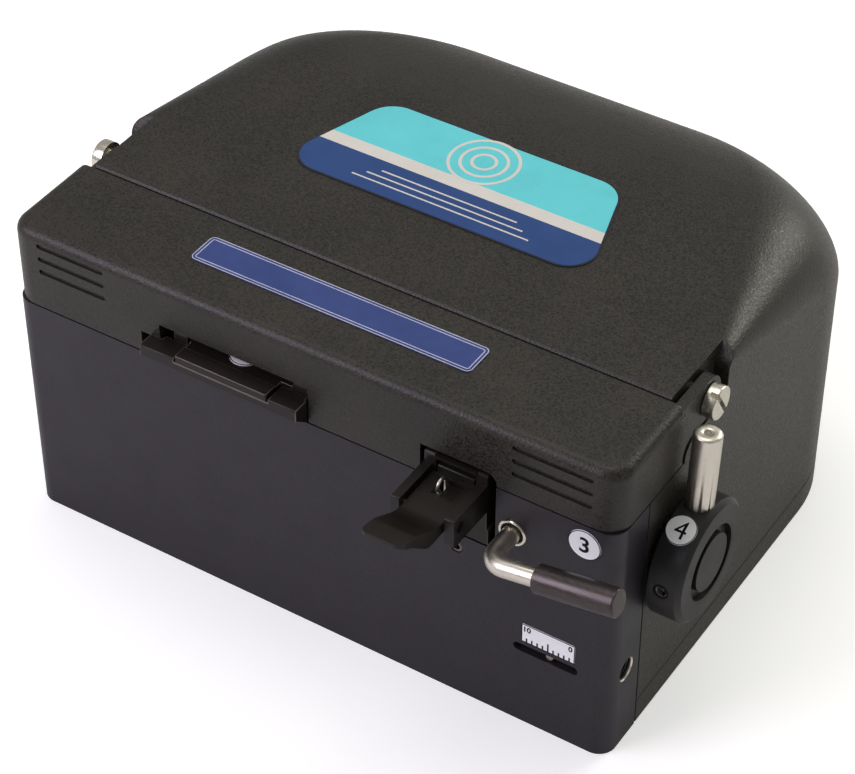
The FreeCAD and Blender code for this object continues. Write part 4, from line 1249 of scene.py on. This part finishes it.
@dataclass
class KnobUnit:
    """The side knob with its pin, set-screw hole, shaft and cam."""

    edge: float = 0.12 * MM
    groove_depth: float = 1.0 * MM
    groove: Profile = (
        mm(4.85, -1.5), mm(6.73, -1.5), mm(6.73, 0.98), mm(6.3, 0.98), mm(6.3, 0), mm(4.85, 0)
    )
    pin_reach: float = 23.32 * MM
    pin_disc: Sizes = mm(0, 1.28, -0.3, 0.015)
    mark_rings: Profile = (mm(1.21, 1.28, -0.05, 0.022), mm(0.33, 0.45, -0.05, 0.022))
    # profile of the black ring that paints the countersink's shade
    mouth: Profile = (mm(0.95, 0), mm(1.32, 0), mm(1.32, 0.02), mm(0.95, 0.03))
    thread: Sizes = (*mm(0.12, 0.86, 0.25), 3.0)
    thread_start: float = 9.25 * MM

    def build(self) -> None:
        """Dress the knob."""
        soften(GRIPPED, self.edge, "knob")
        soften(POLISHED, 0.0, "knob_pin")
        soften(THREADED, 0.0, "knob_set_screw")
        dress(POLISHED, "knob_shaft", "blade_cam")
        self.groove_floor()
        self.pin_mark()
        self.threads()

    def groove_floor(self) -> None:
        """Ring that closes the bottom of the face groove."""
        centre = centre_of("knob")
        centre.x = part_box("knob")[1][0] - self.groove_depth
        add_piece("knob_groove_floor", turned(self.groove, centre, RIGHT, 96), GRIPPED, Body.KNOB)

    def pin_mark(self) -> None:
        """Turned rings round the centre mark in the pin's end."""
        start, lean = spoke("knob", "knob_pin")
        end = start + lean * self.pin_reach
        add_piece("knob_pin_end", turned(ring(*self.pin_disc), end, lean, 48), PIN_FACE, Body.KNOB)
        rings = [turned(ring(*sizes), end, lean, 48) for sizes in self.mark_rings]
        add_piece("knob_pin_mark", joined(rings), SCRIBED, Body.KNOB)

    def threads(self) -> None:
        """Thread turns in the set-screw hole, and a black ring round its mouth as painted shade of the
        countersink.
        """
        axis, out = spoke("knob", "knob_set_screw")
        start = axis + out * self.thread_start
        bm = coil(*self.thread, start, out)
        add_piece("knob_hole_thread", bm, THREADED, Body.KNOB, WIRE_SMOOTH)
        # painted shade: a black ring round the hole stands for its dark countersink
        bm = turned(self.mouth, ORIGIN, UP, 48)
        wrap(bm, axis, out, size_of("knob").z / 2)
        add_piece("knob_hole_mouth_shade", bm, KNOB_HOLE_SHADE, Body.KNOB)


@dataclass
class HingeScrews:
    """Slotted shoulder screws that the lid turns on."""

    head_radius: float = 2.75 * MM
    head_height: float = 1.9 * MM
    slot_depth: float = 1.3 * MM
    slot_width: float = 0.75 * MM
    overlap: float = 0.05 * MM
    rim: float = 0.25 * MM
    shank_radius: float = 1.5 * MM
    slots: tuple[tuple[str, Sizes], ...] = (("left", (0, 0.94, 0.34)), ("right", (0, 0.522, -0.853)))

    def half_head(self, sign: float) -> Shape:
        """One side of the head above the slot's floor, the slot along X.

        Args:
            sign: Which side of the slot, 1 or -1.

        Returns:
            The closed half.
        """
        bm = bmesh.new()
        depth, radius = self.slot_depth + self.overlap, self.head_radius
        lift = Matrix.Translation((0, 0, self.head_height - depth / 2))
        bmesh.ops.create_cone(
            bm, cap_ends=True, segments=64, radius1=radius, radius2=radius, depth=depth, matrix=lift
        )
        level = self.head_height - FILM / 2
        top = [e for e in bm.edges if all(v.co.z > level for v in e.verts)]
        bmesh.ops.bevel(bm, geom=top, offset=self.rim, affect="EDGES", segments=3, profile=0.5, material=-1)
        cut = cut_away(bm, BACK * (sign * self.slot_width / 2), BACK * -sign)
        bmesh.ops.holes_fill(bm, edges=cut, sides=0)
        return bm

    def build(self) -> None:
        """Set both screws, each with its slot where it stopped."""
        for side, slot in self.slots:
            node = "hinge_screw_" + side
            out = RIGHT if side == "right" else -RIGHT
            half = size_of(node).x / 2
            seat = centre_of(node) + out * (half - self.head_height)
            length = 2 * half - self.head_height
            floor = self.head_height - self.slot_depth
            shank, head = self.shank_radius, self.head_radius
            profile = [(0, -length), (shank, -length), (shank, 0), (head, 0), (head, floor), (0, floor)]
            screw = joined([turned(profile, ORIGIN, UP), self.half_head(1.0), self.half_head(-1.0)])
            along = Vector(slot).normalized()
            bmesh.ops.transform(screw, matrix=facing(seat, along, out.cross(along)), verts=screw.verts)
            stand_in(screw, node, NICKELLED)


@dataclass
class TensionScrew:
    """Adjusting screw in the side of the frame, and its pointer."""

    screw_edge: float = 0.05 * MM
    nut_edge: float = 0.08 * MM
    thread_in: float = 1.35 * MM
    thread: Sizes = (*mm(0.10, 1.98, 0.4), 2.0)
    collar: Sizes = mm(2.08, 2.38, -0.6, -0.01)
    rim: Profile = (mm(1.88, -0.5), mm(2.07, -0.5), mm(2.07, -0.06), mm(1.88, -0.3))
    pin_at: float = 16.1 * MM
    pin_in: float = 0.45 * MM
    pin_into_nut: float = 0.3 * MM
    pin_end: Profile = (mm(0.64, -0.08), mm(0.56, 0), mm(0, 0))

    def build(self) -> None:
        """Dress the screw, and line its mouth with a thread, a collar and a bright rim."""
        soften(THREADED, self.screw_edge, "adjusting_screw")
        soften(BRONZE, self.nut_edge, "pointer_nut")
        side = centre_of("adjusting_screw")
        side.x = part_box("front_frame")[1][0]
        bm = coil(*self.thread, side - RIGHT * self.thread_in, RIGHT)
        add_piece("screw_mouth_thread", bm, THREADED, Body.BODY, WIRE_SMOOTH)
        add_piece("screw_mouth_collar", turned(ring(*self.collar), side, RIGHT), ANODISED, Body.BODY)
        add_piece("screw_mouth_rim", turned(self.rim, side, RIGHT), BRIGHT, Body.BODY)
        self.pointer_pin()

    def pointer_pin(self) -> None:
        """Round end of the pointer, seen in the slot below the scale."""
        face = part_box("front_frame")[0][1] + self.pin_in
        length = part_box("pointer_nut")[0][1] + self.pin_into_nut - face
        profile = [(0, -length), (self.pin_end[0][0], -length), *self.pin_end]
        bm = turned(profile, Vector((centre_of("pointer_nut").x, face, self.pin_at)), -BACK, 40)
        add_piece("pointer_pin", bm, POINTED, Body.POINTER)


@dataclass
class Inside:
    """The parts under the covers and the feet."""

    edge: float = 0.15 * MM
    ceramic_edge: float = 0.1 * MM
    cell_edge: float = 0.4 * MM

    def build(self) -> None:
        """Dress the rest."""
        soften(ANODISED, self.edge, "deck")
        soften(BARE, self.edge, "blade_arm", "blade_holder", "blade_stand")
        dress(BARE, "rod_bracket", "shaft_bearing")
        dress(POLISHED, "blade_arm_pin")
        soften(CERAMIC, self.ceramic_edge, "transducer")
        dress(CERAMIC, "blade")
        soften(CELL_WRAP, self.cell_edge, "battery")
        soften(GRIPPED, self.edge, "microswitch")
        dress(BOARD, "driver_board")
        feet = [f"foot_{end}_{side}" for end in ("front", "back") for side in ("left", "right")]
        soften(SOFT_BLACK, self.edge, *feet)


def main() -> None:
    """Build every sub-assembly in order."""
    logging.basicConfig(level=logging.INFO, format="%(message)s")
    Studio().build()
    for kind in (Covers, Labels, StepDiscs, Clamps, LeverUnit, KnobUnit, HingeScrews, TensionScrew, Inside):
        kind().build()
        LOG.info("built %s", kind.__name__)


if __name__ == "__main__":
    main()
